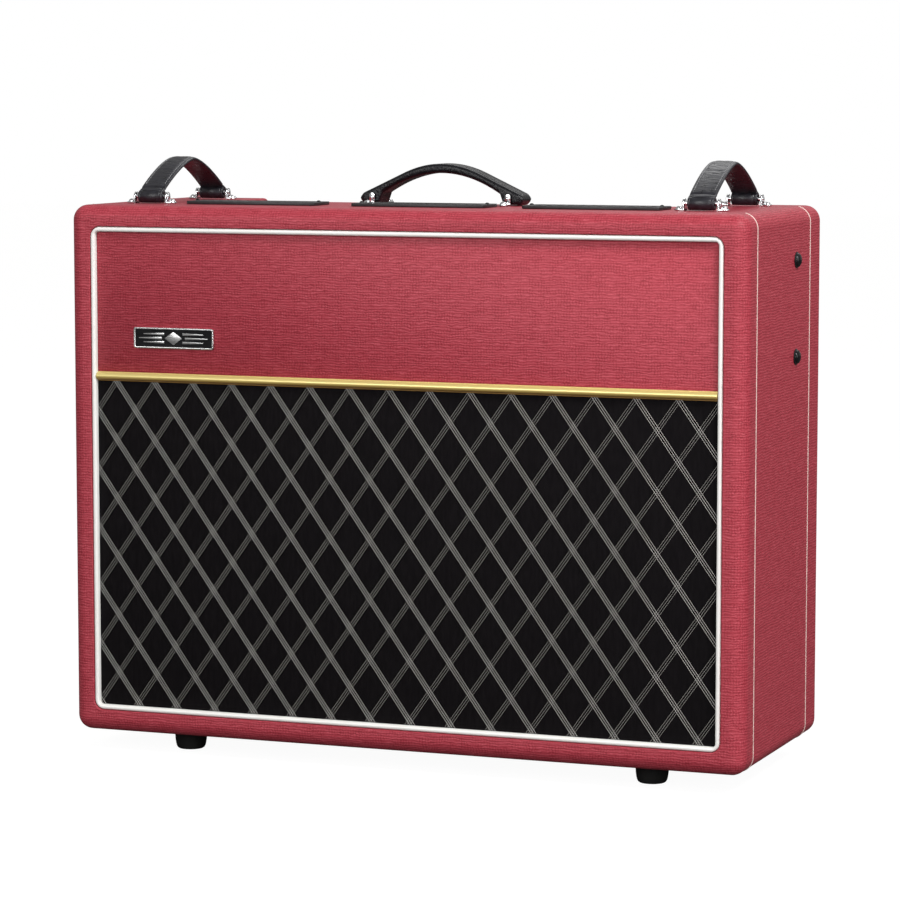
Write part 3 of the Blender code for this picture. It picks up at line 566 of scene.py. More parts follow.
def prism(outline, plane, low, high, rounding=0.0, segments=3):
    """Extrude an outline through its plane, with its rim edges rounded."""
    bm = bmesh.new()
    bottom = [bm.verts.new((x, y, low)) for x, y in outline]
    top = [bm.verts.new((x, y, high)) for x, y in outline]
    count = len(outline)
    for i in range(count):
        j = (i + 1) % count
        bm.faces.new((bottom[i], bottom[j], top[j], top[i]))
    caps = [bm.faces.new(bottom[::-1]), bm.faces.new(top)]
    bmesh.ops.recalc_face_normals(bm, faces=bm.faces)
    if rounding:
        rim = list({edge for face in caps for edge in face.edges})
        bmesh.ops.bevel(bm, geom=rim, offset=rounding, segments=segments, profile=0.5,
                        affect="EDGES", clamp_overlap=True)
    bm.transform(PLANE[plane])
    return bm_mesh(bm)


def rounded_box(low, high, radius, segments=3):
    low, high = Vector(low), Vector(high)
    bm = bmesh.new()
    bmesh.ops.create_cube(bm, size=1.0)
    bmesh.ops.scale(bm, vec=high - low, verts=bm.verts)
    bmesh.ops.translate(bm, vec=(low + high) / 2, verts=bm.verts)
    if radius:
        bmesh.ops.bevel(bm, geom=list(bm.edges), offset=radius, segments=segments, profile=0.5,
                        affect="EDGES")
    return bm_mesh(bm)


def block(centre, half_mm, radius=0.0, segments=3):
    """A rounded box about its centre; its half sizes are in millimetres."""
    centre, half = Vector(centre), Vector(half_mm) * MM
    return rounded_box(centre - half, centre + half, radius, segments)


def rounded_rectangle(low, high, radius, corner_steps=10):
    """Outline points, counter-clockwise from the right of the lower right corner."""
    points = []
    corners = ((high[0] - radius, low[1] + radius, 270), (high[0] - radius, high[1] - radius, 0),
               (low[0] + radius, high[1] - radius, 90), (low[0] + radius, low[1] + radius, 180))
    for x, y, start in corners:
        for step in range(corner_steps + 1):
            angle = math.radians(start + 90 * step / corner_steps)
            points.append((x + radius * math.cos(angle), y + radius * math.sin(angle)))
    return points


def arc(centre, radius, start, end, steps):
    """Points on an arc, with angles in degrees, both ends included."""
    points = []
    for step in range(steps + 1):
        angle = math.radians(start + (end - start) * step / steps)
        points.append((centre[0] + radius * math.cos(angle),
                       centre[1] + radius * math.sin(angle)))
    return points


def boolean(mesh, cutters, angle=35):
    """The mesh with each cutter mesh taken away, smooth below the angle."""
    work = bpy.data.objects.new("work", mesh)
    bpy.context.scene.collection.objects.link(work)
    tools = []
    for cutter in cutters:
        tool = bpy.data.objects.new("tool", cutter)
        bpy.context.scene.collection.objects.link(tool)
        modifier = work.modifiers.new("cut", "BOOLEAN")
        modifier.solver = "EXACT"
        modifier.object = tool
        tools.append(tool)
    bpy.context.view_layer.update()
    depsgraph = bpy.context.evaluated_depsgraph_get()
    result = bpy.data.meshes.new_from_object(work.evaluated_get(depsgraph))
    for obj in [work] + tools:
        bpy.data.objects.remove(obj, do_unlink=True)
    return smoothed(result, angle)


def paint_node(name, material, bevel_width, segments=2):
    """Paint, weld, round and smooth a CAD node for view, with modifiers only."""
    obj, angle = NODES[name], math.radians(35)
    for polygon in obj.data.polygons:
        polygon.use_smooth = True
    weld = obj.modifiers.new("weld", "WELD")
    weld.merge_threshold = 0.00001
    bevel = obj.modifiers.new("bevel", "BEVEL")
    bevel.width = bevel_width
    bevel.segments = segments
    bevel.limit_method = "ANGLE"
    bevel.angle_limit = angle
    obj.modifiers.new("split", "EDGE_SPLIT").split_angle = angle
    obj.data.materials.clear()
    obj.data.materials.append(MAT[material])


# ---------------------------------------------------------------- cabinet
def clamp(value, low, high):
    return max(low, min(high, value))


def core_point(point):
    """Nearest point of the box that the rounded edges are drawn about."""
    return Vector((clamp(point.x, -HALF_X + EDGE, HALF_X - EDGE),
                   clamp(point.y, FRONT_Y + EDGE, REAR_Y - EDGE),
                   clamp(point.z, BOTTOM + EDGE, TOP - EDGE)))


def wrapped_uv(point, facing):
    """Covering coordinates, in metres, unrolled over the rounded edges.

    facing is the outward direction at the middle of the face that the point belongs to.
    """
    core = core_point(point)
    out = (point - core) / EDGE
    inner_x, inner_y = HALF_X - EDGE, -FRONT_Y - EDGE
    if abs(facing.x) < 0.3 and abs(facing.z) > 0.02:
        rise = math.atan2(abs(out.z), -out.y)
        level = core.z + math.copysign(EDGE * rise + core.y + inner_y, facing.z)
        return point.x, level
    direction = out if math.hypot(out.x, out.y) > 0.05 else facing
    turn = math.atan2(abs(direction.x), -direction.y)
    across = abs(core.x) if turn < math.radians(91) else 2 * inner_x - abs(core.x)
    along = math.copysign(across + EDGE * turn + core.y + inner_y, point.x)
    return along, core.z + EDGE * math.asin(clamp(out.z, -1.0, 1.0))


def outline_cutter(outline, plane, levels):
    """A cutter whose outline grows outwards at each of its (level, growth) steps."""
    count = len(outline)
    middle = (sum(p[0] for p in outline) / count, sum(p[1] for p in outline) / count)
    rings = []
    for level, growth in levels:
        ring = []
        for index, (x, y) in enumerate(outline):
            before, after = outline[index - 1], outline[(index + 1) % count]
            tangent = Vector((after[0] - before[0], after[1] - before[1])).normalized()
            outward = Vector((tangent.y, -tangent.x))
            if outward.dot(Vector((x - middle[0], y - middle[1]))) < 0:
                outward.negate()
            ring.append(PLANE[plane] @ Vector((x + outward.x * growth, y + outward.y * growth,
                                               level)))
        rings.append(ring)
    return loft(rings)


def flared_levels(far, near, edge, radius):
    """Levels from far to near whose last stretch before edge flares by a radius."""
    steps = 5
    inward = math.copysign(1.0, far - near)
    levels = [(far, 0.0)]
    for step in range(steps + 1):
        angle = math.pi / 2 * step / steps
        levels.append((edge + inward * radius * (1 - math.sin(angle)),
                       radius * (1 - math.cos(angle))))
    levels.append((near, radius))
    return levels


def make_cabinet():
    """Box with rounded edges, bored for its openings, in vinyl outside and plywood inside."""
    cut = 10 * MM                               # how far cutters reach past the surface
    shell = rounded_box(SHELL_LOW, SHELL_HIGH, EDGE, 10)

    opening = rounded_rectangle((PIPING_LOW.x - GAP, PIPING_LOW.z - GAP),
                                (PIPING_HIGH.x + GAP, PIPING_HIGH.z + GAP), 10.5 * MM)
    front = outline_cutter(opening, "XZ", flared_levels(LIP_BACK_Y + 1 * MM, FRONT_Y - cut,
                                                        FRONT_Y, 1.3 * MM))
    cavity = rounded_box((-CAVITY_HALF_X, LIP_BACK_Y, CAVITY_LOW_Z),
                         (CAVITY_HALF_X, REAR_PANEL_Y, CAVITY_HIGH_Z), 0)
    rebate = 7.5 * MM
    rear = outline_cutter(
        [(-CAVITY_HALF_X - rebate, CAVITY_LOW_Z - rebate),
         (CAVITY_HALF_X + rebate, CAVITY_LOW_Z - rebate),
         (CAVITY_HALF_X + rebate, CAVITY_HIGH_Z), (-CAVITY_HALF_X - rebate, CAVITY_HIGH_Z)],
        "XZ", [(REAR_PANEL_Y - GAP, 0.0), (REAR_Y + cut, 0.0)])
    recess_half, recess_front, corner = 250 * MM, 36 * MM, 3 * MM
    outline = (arc((recess_half - corner, recess_front + corner), corner, 270, 360, 5)
               + [(recess_half, REAR_Y + 2 * cut), (-recess_half, REAR_Y + 2 * cut)]
               + arc((-recess_half + corner, recess_front + corner), corner, 180, 270, 5))
    recess = outline_cutter(outline, "XY", flared_levels(CAVITY_HIGH_Z - cut, TOP + cut, TOP,
                                                         2.5 * MM))
    vent_holes = []
    for name in VENTS:
        middle = centre_of(name)
        vent_holes.append(block((middle.x, middle.y, TOP - cut), (64, 16, 20)))
    mesh = boolean(shell, [front, cavity, rear, recess] + vent_holes, 32)

    layer = mesh.uv_layers.new(name="covering")
    slack = Vector((1, 1, 1)) * 0.1 * MM
    inner_low = Vector((-CAVITY_HALF_X, LIP_BACK_Y, CAVITY_LOW_Z)) - slack
    inner_high = Vector((CAVITY_HALF_X, REAR_PANEL_Y, CAVITY_HIGH_Z)) + slack
    for polygon in mesh.polygons:
        middle = polygon.center
        inside = all(inner_low[i] <= middle[i] <= inner_high[i] for i in range(3))
        polygon.material_index = 1 if inside else 0
        offset = middle - core_point(middle)
        on_skin = offset.length > 0.9 * EDGE and offset.dot(polygon.normal) > 0.7 * offset.length
        for loop in polygon.loop_indices:
            point = mesh.vertices[mesh.loops[loop].vertex_index].co
            if on_skin:
                uv = wrapped_uv(point, offset.normalized())
            elif abs(polygon.normal.z) > 0.7:
                uv = (point.x, point.y)
            else:
                uv = (point.x + point.y, point.z)
            layer.data[loop].uv = uv
    shell = piece("cabinet_covering", mesh, ["vinyl_uv", "plywood"],
                  replaces=("cabinet_shell",))
    weighted = shell.modifiers.new("weighted", "WEIGHTED_NORMAL")
    weighted.keep_sharp = True
    weighted.mode = "FACE_AREA"


def make_side_piping():
    """Two thin beads each side, over both edges, that end on the roundings."""
    bead = 0.85 * MM
    section = [(bead * x, bead * 0.62 * z) for x, z in arc((0.0, 0.0), 1.0, 0, 180, 8)]
    section += [(-bead * 0.8, -0.4 * MM), (bead * 0.8, -0.4 * MM)]
    reach = 78                              # degrees of each rounding that they cover
    angles = [(TOP - EDGE, a) for a in range(reach, -1, -6)]
    angles += [(BOTTOM + EDGE, a) for a in range(0, -reach - 1, -6)]
    for line_name, y in (("front", -99.6 * MM), ("rear", 84.0 * MM)):
        for side_name, side in (("left", -1), ("right", 1)):
            rings = []
            for level, degrees in angles:
                nx, nz = math.cos(math.radians(degrees)), math.sin(math.radians(degrees))
                rings.append([(side * (HALF_X - EDGE + (EDGE + lift) * nx), y + across,
                               level + (EDGE + lift) * nz) for across, lift in section])
            piece("side_piping_{}_{}".format(line_name, side_name), loft(rings), "side_piping")


def make_front_panel():
    """The panel above the gold bead, and the baffle behind the cloth."""
    paint_node("front_panel", "vinyl_flat", 0.8 * MM)
    paint_node("speaker_baffle", "plywood", 0.4 * MM)


# ---------------------------------------------------------------- front trim
def make_front_piping():
    """Half-round white bead round the front opening."""
    outer = rounded_rectangle((PIPING_LOW.x, PIPING_LOW.z), (PIPING_HIGH.x, PIPING_HIGH.z),
                              10.2 * MM)
    inner = rounded_rectangle((PIPING_LOW.x + PIPING_WIDTH, PIPING_LOW.z + PIPING_WIDTH),
                              (PIPING_HIGH.x - PIPING_WIDTH, PIPING_HIGH.z - PIPING_WIDTH),
                              3.2 * MM)
    depth = PIPING_HIGH.y - PIPING_LOW.y
    steps = 12
    rings = []
    for (x0, z0), (x1, z1) in zip(outer, inner):
        ring = []
        for step in range(steps + 1):
            share = step / steps
            lift = depth * math.sin(math.pi * share) ** 0.42
            across = 0.5 - 0.5 * math.cos(math.pi * share)
            ring.append((x0 + (x1 - x0) * across, LIP_BACK_Y - lift, z0 + (z1 - z0) * across))
        rings.append(ring)
    piece("front_piping_bead", loft(rings, closed=True, angle=60), "piping",
          replaces=("front_piping",))


def make_gold_strip():
    """Gold bead with a narrow step above and below its half-round crown."""
    middle = (STRIP_LOW.z + STRIP_HIGH.z) / 2
    half = (STRIP_HIGH.z - STRIP_LOW.z) / 2
    crown = half - 0.7 * MM
    back, step_y = STRIP_HIGH.y, STRIP_HIGH.y - 0.8 * MM
    section = [(back, half), (step_y, half), (step_y, crown)]
    for step in range(1, 16):
        angle = math.pi * step / 16
        section.append((step_y - (step_y - STRIP_LOW.y) * math.sin(angle), crown * math.cos(angle)))
    section += [(step_y, -crown), (step_y, -half), (back, -half)]
    stations = 40
    rings = []
    for index in range(stations + 1):
        x = STRIP_LOW.x + (STRIP_HIGH.x - STRIP_LOW.x) * index / stations
        rings.append([(x, y, middle + z) for y, z in section])
    piece("gold_bead", loft(rings, angle=50), "gold", replaces=("gold_strip",))


def make_badge():
    """Blank badge: silver rim, black field, and a lozenge between tapering bars."""
    back, front = BADGE_HIGH.y, BADGE_LOW.y
    middle = (BADGE_LOW + BADGE_HIGH) / 2
    rim = 1.8 * MM
    outer = rounded_rectangle((BADGE_LOW.x, BADGE_LOW.z), (BADGE_HIGH.x, BADGE_HIGH.z), 2.4 * MM, 6)
    inner = rounded_rectangle((BADGE_LOW.x + rim, BADGE_LOW.z + rim),
                              (BADGE_HIGH.x - rim, BADGE_HIGH.z - rim), 0.9 * MM, 6)
    rings = []
    for (x0, z0), (x1, z1) in zip(outer, inner):
        profile = [(0.0, back), (0.0, front + 0.5 * MM), (0.22, front + 0.1 * MM), (0.5, front),
                   (0.8, front + 0.15 * MM), (1.0, front + 0.6 * MM), (1.0, back)]
        rings.append([(x0 + (x1 - x0) * s, y, z0 + (z1 - z0) * s) for s, y in profile])
    silver = [loft(rings, closed=True, angle=50)]
    field_front = front + 0.9 * MM
    under = rim * 0.9                           # the field reaches under the rim
    field = rounded_rectangle((BADGE_LOW.x + under, BADGE_LOW.z + under),
                              (BADGE_HIGH.x - under, BADGE_HIGH.z - under), 1.0 * MM, 6)
    field = prism(field, "XZ", field_front, back)
    raised = front + 0.25 * MM

    def lozenge(half_width, half_height):
        return [(middle.x - half_width, middle.z), (middle.x, middle.z - half_height),
                (middle.x + half_width, middle.z), (middle.x, middle.z + half_height)]

    silver.append(prism(lozenge(9.5 * MM, 6.6 * MM), "XZ", raised, field_front + 0.1 * MM,
                        0.25 * MM))
    for side in (-1, 1):
        for row, length in ((-1, 22.5), (0, 25.0), (1, 22.5)):
            z = middle.z + row * 4.1 * MM
            start = middle.x + side * (12.6 - abs(row) * 2.6) * MM
            end = start + side * length * MM
            thick, thin = 1.25 * MM, 0.45 * MM
            outline = [(start, z - thick), (end, z - thin), (end, z + thin), (start, z + thick)]
            silver.append(prism(outline, "XZ", raised, field_front + 0.1 * MM, 0.2 * MM))
    mesh = merged([tinted(part, 0) for part in silver] + [tinted(field, 1)])
    piece("badge", mesh, ["badge_silver", "badge_black"],
          replaces=("badge_plate",))


# ---------------------------------------------------------------- grille cloth
CLOTH_EDGE_X = 323.4 * MM                    # threads end under the piping
CELL_WIDTH, CELL_HEIGHT = 41.85 * MM, 58.65 * MM
CROSSING = (-281.2 * MM, 344.9 * MM)         # one crossing of the lattice


def make_cloth_sheet():
    """The cloth itself, cut to the baffle and stretched flat on it."""
    mesh = rounded_box(CLOTH_LOW, CLOTH_HIGH, 0.2 * MM, 2)
    cloth = piece("grille_cloth_sheet", mesh, "cloth",
                  replaces=("grille_cloth",))
    threads = [make_lattice_threads("lattice_threads_falling", -1, (-2.15, 0.0, 2.15), 0.20,
                                    0.20, "thread_bright"),
               # the rising threads take the darker copy of the thread, painted shade
               make_lattice_threads("lattice_threads_rising", 1, (-2.15, 0.0, 2.15), 0.20,
                                    0.16, "thread_dim")]


def clipped(start, direction, low, high):
    """The stretch of a line, as two distances from start, inside a rectangle."""
    first, last = -10.0, 10.0
    for axis in range(2):
        bounds = sorted(((low[axis] - start[axis]) / direction[axis],
                         (high[axis] - start[axis]) / direction[axis]))
        first, last = max(first, bounds[0]), min(last, bounds[1])
    return first, last


def make_lattice_threads(name, slope, offsets, half_width, height, material):
    """Bundles of three beaded threads, parallel to one diagonal of the lattice."""
    step = 1.1 * MM
    direction = Vector((CELL_WIDTH, slope * CELL_HEIGHT)).normalized()
    sideways = Vector((-direction.y, direction.x))
    low = Vector((-CLOTH_EDGE_X, CLOTH_LOW.z + 7.2 * MM))
    high = Vector((CLOTH_EDGE_X, STRIP_LOW.z + 0.4 * MM))
    verts, faces, uvs = [], [], []
    spans = int(2 * CLOTH_EDGE_X / CELL_WIDTH) + 8
    for line in range(-spans, spans):
        anchor = Vector((CROSSING[0] + line * CELL_WIDTH, CROSSING[1]))
        for offset in offsets:
            start = anchor + sideways * offset * MM
            first, last = clipped(start, direction, low, high)
            if last - first < 2 * step:
                continue
            count = int((last - first) / step)
            base = len(verts)
            for index in range(count + 1):
                along = first + index * step
                full = index % 2 == 0
                wide = half_width * MM * (1.0 if full else 0.50)
                lift = height * MM * (1.0 if full else 0.45)
                point = start + direction * along
                for share, rise in ((-1, 0.0), (0, lift), (1, 0.0)):
                    p = point + sideways * wide * share
                    verts.append((p.x, CLOTH_LOW.y - rise + 0.02 * MM, p.y))
                    uvs.append((share, along / MM))
            for index in range(count):
                for strand in (0, 1):
                    a = base + index * 3 + strand
                    faces.append((a, a + 3, a + 4, a + 1))
    mesh = bpy.data.meshes.new(name)
    mesh.from_pydata(verts, [], faces)
    layer = mesh.uv_layers.new(name="thread")
    layer.data.foreach_set("uv", [c for loop in mesh.loops for c in uvs[loop.vertex_index]])
    mesh.shade_smooth()
    return piece(name, mesh, material)


# ---------------------------------------------------------------- fasteners
def screw_pattern():
    """A pan head screw of unit radius with a cross recess, sitting on z = 0."""
    head = lathe([(0, 0.80), (0.35, 0.76), (0.70, 0.60), (0.93, 0.34), (1.0, 0.08), (1.0, -0.3),
                  (0, -0.3)], steps=28)
    bars = [rounded_box((-0.52, -0.10, 0.40), (0.52, 0.10, 1.0), 0),
            rounded_box((-0.10, -0.52, 0.40), (0.10, 0.52, 1.0), 0)]
    return boolean(head, bars)


SCREW = screw_pattern()


def screw(centre, radius, axis="Z", spin=0.0):
    matrix = at(centre, axis) @ Matrix.Rotation(spin, 4, "Z") @ Matrix.Scale(radius, 4)
    return moved(SCREW, matrix)


def screws(name, places, radius, axis, material="chrome"):
    """One piece of many screws, each turned its own way."""
    chance = random.Random(name)
    meshes = [screw(place, radius, axis, chance.uniform(0, math.pi)) for place in places]
    piece(name, merged(meshes), material)


# ---------------------------------------------------------------- feet, vents, bolts
def make_feet():
    places = []
    for end in ("front", "rear"):
        for side in ("left", "right"):
            node = "foot_{}_{}".format(end, side)
            low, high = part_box(node)
            x, y, top = (low.x + high.x) / 2, (low.y + high.y) / 2, high.z / MM
            profile = [(0, top), (16.5, top), (16.4, top - 1.6), (15.9, 9.6), (15.2, 5.0),
                       (14.6, 2.6), (13.6, 0.9), (12.4, 0.1), (11.6, 0.0), (7.2, 0.0),
                       (6.4, 0.35), (6.0, 1.2), (6.0, 5.2), (0, 5.2)]
            piece(node + "_rubber", lathe(mm(profile), (x, y, 0.0)), "rubber",
                  replaces=(node,))
            places.append((x, y, 5.2 * MM))
    screws("foot_screws", places, 4.2 * MM, "-Z")


def make_vents():
    places = []
    for name in VENTS:
        paint_node(name, "plastic", 0.5 * MM, 3)
        low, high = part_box(name)
        middle = (low + high) / 2
        places += [(low.x + 4 * MM, middle.y, high.z), (high.x - 4 * MM, middle.y, high.z)]
    screws("vent_screws", places, 2.1 * MM, "Z", "black_steel")


def make_bolts():
    rings = []
    for side, axis, sign in (("left", "-X", -1), ("right", "X", 1)):
        for level in ("lower", "upper"):
            node = "chassis_bolt_{}_{}".format(side, level)
            middle = centre_of(node)
            centre = (sign * HALF_X, middle.y, middle.z)
            profile = [(0, 5.0), (1.9, 4.93), (3.7, 4.55), (5.2, 3.85), (6.3, 2.95), (6.9, 2.0),
                       (7.0, 0.4), (3.0, 0.4), (3.0, -29.0), (0, -29.0)]
            piece(node + "_head", lathe(mm(profile), centre, axis), "black_steel",
                  replaces=(node,))
            ring = [(6.4, 0.35), (6.4, 1.5), (7.2, 1.35), (7.9, 0.85), (8.0, 0.35)]
            rings.append(lathe(mm(ring), centre, axis))
    piece("chassis_bolt_washers", merged(rings), "grey_ring")


# ---------------------------------------------------------------- handles
BAR_HEIGHT = 7.3 * MM
BAR_RADIUS = 2.2 * MM


def bracket(node, along, ear_inner, foot_end, half_width, foot_half):
    """Chrome saddle: two ears with round tops on bent feet, and the bar between them."""
    middle = centre_of(node)
    metal, rounding = 1.8 * MM, 0.5 * MM
    base, bar_z = TOP + 0.3 * MM, TOP + BAR_HEIGHT
    ear_top = bar_z + 4.7 * MM
    along_x = along == "X"
    start, level = (middle.x, middle.y) if along_x else (middle.y, middle.x)
    rivet = [(0, 1.4), (1.4, 1.25), (2.5, 0.75), (3.0, 0.1), (3.0, -0.3), (0, -0.3)]
    slim = min(1.0, half_width / (3.4 * MM)) * MM
    meshes = []
    for side in (-1, 1):

        def spot(out, across=0.0):
            """The place at a distance out along the bar from the middle, and across it."""
            place = (start + side * out, level + across)
            return place if along_x else place[::-1]

        ear = [(-half_width, base), (half_width, base)]
        ear += arc((0.0, ear_top - half_width), half_width, 0, 180, 16)
        faces = sorted((start + side * ear_inner, start + side * (ear_inner + metal)))
        meshes.append(prism([(level + a, z) for a, z in ear], "YZ" if along_x else "XZ", *faces,
                            rounding))
        foot = arc((foot_end - foot_half, 0.0), foot_half, -90, 90, 12)
        foot = [(ear_inner, -half_width)] + foot + [(ear_inner, half_width)]
        meshes.append(prism([spot(*point) for point in foot], "XY", base, base + metal, rounding))
        meshes.append(lathe([(r * slim, z * MM) for r, z in rivet],
                            (*spot(ear_inner + metal), bar_z), along if side > 0 else "-" + along,
                            20))
        meshes.append(screw((*spot(foot_end - 4.9 * MM), base + metal), 3.5 * MM, "Z", 0.6 + side))
    length = ear_inner + 0.5 * MM
    meshes.append(lathe([(0, length), (BAR_RADIUS, length), (BAR_RADIUS, -length), (0, -length)],
                        (middle.x, middle.y, bar_z), along, 24))
    piece(node + "_saddle", merged(meshes), "chrome", replaces=(node,))


STRAP_BAR_Y = 72 * MM
STRAP_WIDTH = 27 * MM
STRAP_CROWN, STRAP_DROP = 43.5 * MM, 30.9 * MM
STRAP_REACH = 1.03                          # its legs run this far, into the loops


def strap_point(t):
    """Middle of the strap's thickness at t: -1 above the front bar, 1 above the rear."""
    return Vector((0.0, STRAP_BAR_Y * t, TOP + STRAP_CROWN - STRAP_DROP * abs(t) ** 1.5))


def strap_frame(t):
    before, after = strap_point(t - 0.004), strap_point(t + 0.004)
    tangent = (after - before).normalized()
    return strap_point(t), tangent, Vector((0.0, -tangent.z, tangent.y))


STITCH_X = 10.3 * MM


def strap_section():
    """(x, top offset, bottom offset) across the strap: padded middle, sewn valleys."""
    rows, count = [], 26
    half = STRAP_WIDTH / 2
    for index in range(count + 1):
        share = -math.cos(math.pi * index / count)
        x = half * math.copysign(abs(share) ** 0.8, share)
        edge = math.sqrt(max(0.0, 1 - abs(x / half) ** 9))
        valley = math.exp(-((abs(x) - STITCH_X) / (0.8 * MM)) ** 2)
        crown = 0.45 * MM * max(0.0, 1 - (x / STITCH_X) ** 2)
        rows.append((x, 2.0 * MM * edge + crown - 0.45 * MM * valley * edge,
                     -2.0 * MM * edge + 0.2 * MM * valley * edge))
    return rows


def make_strap(side_name, centre_x):
    section = strap_section()
    steps = 230
    seed = Vector((centre_x * 40, 3.1, 0.0))
    rings = []
    for step in range(steps + 1):
        t = STRAP_REACH * (2 * step / steps - 1)
        point, tangent, normal = strap_frame(t)
        creased = clamp((0.74 - abs(t)) / 0.25, 0.0, 1.0)
        groove = 0.9 * MM * math.exp(-((abs(t) - 0.955) / 0.016) ** 2)
        top, bottom = [], []
        for x, high, low in section:
            shape = Vector((x * 90, t * 26 + 0.8 * math.sin(x * 260), 0.0)) + seed
            fold = noise.noise(shape) + 0.5 * noise.noise(shape * 2.3)
            inner = clamp((STITCH_X - abs(x)) / (2 * MM), 0.0, 1.0)
            high += 0.42 * MM * fold * creased * inner - groove
            top.append(point + normal * high + Vector((centre_x + x, 0, 0)))
            bottom.append(point + normal * low + Vector((centre_x + x, 0, 0)))
        rings.append(top + bottom[-2:0:-1])
    meshes = [loft(rings, angle=60)]
    roll = [(2.7, 12.9), (5.2, 13.3), (6.1, 12.9), (6.4, 12.0), (6.4, 10.9), (6.05, 10.5),
            (6.4, 10.1)]
    profile = roll + [(r, -x) for r, x in reversed(roll)]
    for side in (-1, 1):
        centre = (centre_x, side * STRAP_BAR_Y, TOP + BAR_HEIGHT)
        meshes.append(lathe(mm(profile), centre, "X", 48, 40))
    name = "strap_" + side_name
    piece(name + "_leather", merged(meshes, 60), "leather", replaces=(name,))
    stitches = []
    count = 42
    for index in range(count):
        t = -0.88 + 1.76 * (index + 0.5) / count
        point, tangent, normal = strap_frame(t)
        for side in (-1, 1):
            spot = point + normal * 1.75 * MM + Vector((centre_x + side * STITCH_X, 0, 0))
            turn = Matrix((Vector((1, 0, 0)), tangent, normal)).transposed().to_4x4()
            tilt = Matrix.Rotation(0.16 * side, 4, "Z")
            stitches.append(moved(STITCH, Matrix.Translation(spot) @ turn @ tilt))
    piece(name + "_stitching", merged(stitches, 60), "stitch")


def stitch_pattern():
    """One stitch: a short plump thread along Y, its ends drawn down."""
    length, radius = 2.9 * MM, 0.42 * MM
    rings = []
    for index in range(7):
        share = -1 + 2 * index / 6
        size = radius * math.sqrt(max(0.02, 1 - share * share * 0.9))
        drop = -0.25 * MM * share * share
        rings.append([(size * math.cos(a * math.pi / 4), share * length / 2,
                       drop + size * math.sin(a * math.pi / 4)) for a in range(8)])
    return loft(rings, angle=60)


STITCH = stitch_pattern()
GRIP_END, GRIP_END_RADIUS = (80.0, 6.4), 6.0  # millimetres: middle of each round end
GROOVE_Y = 7.0 * MM


def grip_end(x):
    """Half height of the round end at x millimetres from the middle."""
    return math.sqrt(max(0.0, GRIP_END_RADIUS ** 2 - max(0.0, x - GRIP_END[0]) ** 2))


def grip_top(x):
    """Height of the centre handle's top above the cabinet: an arch, then straight shoulders."""
    x = abs(x / MM)
    crown, curve, shoulder, slope = 41.0, 0.005825, 40.0, 0.466
    arch = crown - curve * min(x, shoulder) ** 2 - slope * max(0.0, x - shoulder)
    return (arch if x < 82.5 else GRIP_END[1] + grip_end(x)) * MM


def grip_bottom(x):
    """Height of its underside: an arch, a steep step down, and the flat of the round end."""
    x = abs(x / MM)
    under = 31.7 - 0.00522 * x * x
    if x > 62.5:
        under = max(1.2, 11.3 - (x - 62.5) * 10.1 / 3.5)
    return (max(under, GRIP_END[1] - grip_end(x)) if x > 80.0 else under) * MM


def grip_ring(x):
    """Cross-section of the centre handle at x: rounded, with two sewn grooves on top."""
    half = 14.3 * MM
    low, high = grip_bottom(x), grip_top(x)
    middle, half_height = (low + high) / 2, max((high - low) / 2, 0.05 * MM)
    corner = min(3.6 * MM, half_height * 0.98)
    side = half - 0.5 * max(0.0, abs(x) - 82 * MM)
    points = []
    steps = 8
    inset_y, inset_z = side - corner, half_height - corner
    upper, lower = middle + inset_z, middle - inset_z
    for centre_y, centre_z, start in ((inset_y, upper, 0), (-inset_y, upper, 90),
                                      (-inset_y, lower, 180), (inset_y, lower, 270)):
        if start == 90:
            for index in range(1, 24):
                y = inset_y * (1 - 2 * index / 24)
                groove = math.exp(-((abs(y) - GROOVE_Y) / (0.8 * MM)) ** 2)
                fade = clamp((85 * MM - abs(x)) / (4 * MM), 0.0, 1.0)
                points.append((x, y, TOP + high - fade * 1.4 * MM * groove))
        for step in range(steps + 1):
            angle = math.radians(start + 90 * step / steps)
            points.append((x, centre_y + corner * math.cos(angle),
                           TOP + centre_z + corner * math.sin(angle)))
    return points


def make_centre_handle():
    end = 85.95 * MM
    xs = [end * math.sin(math.pi / 2 * index / 80) for index in range(-80, 81)]
    extra = [sign * (61.5 + 0.5 * index) * MM for sign in (-1, 1) for index in range(11)]
    xs = sorted(set(round(x, 6) for x in xs + extra))
    mesh = loft([grip_ring(x) for x in xs], angle=50)
    slots = []
    for side in (-1, 1):
        middle, z = side * 73.1 * MM, TOP + BAR_HEIGHT
        outline = (arc((middle + 3.3 * MM, z), 2.6 * MM, -90, 90, 8)
                   + arc((middle - 3.3 * MM, z), 2.6 * MM, 90, 270, 8))
        slots.append(prism(outline, "XZ", -20 * MM, 20 * MM))
        pocket = [(side * (76.0 + 8.2 * math.cos(math.pi * step / 16)) * MM,
                   TOP + (6.9 + 4.3 * math.sin(math.pi * step / 16)) * MM) for step in range(32)]
        slots += [prism(pocket, "XZ", 12.6 * MM, 20 * MM),
                  prism(pocket, "XZ", -20 * MM, -12.6 * MM)]
    piece("centre_handle_grip", boolean(mesh, slots, 50), "grip", "centre_handle",
          ("centre_handle",))
    stitches = []
    for row in (-1, 1):
        for index in range(19):
            x = (-67.5 + 7.5 * index) * MM
            slope = math.atan2(grip_top(x + MM) - grip_top(x - MM), 2 * MM)
            place = Matrix.Translation((x, row * GROOVE_Y, TOP + grip_top(x) - 0.95 * MM))
            stitches.append(moved(STITCH, place @ Matrix.Rotation(-slope, 4, "Y")))
    piece("centre_handle_stitching", merged(stitches, 60), "stitch",
          "centre_handle")


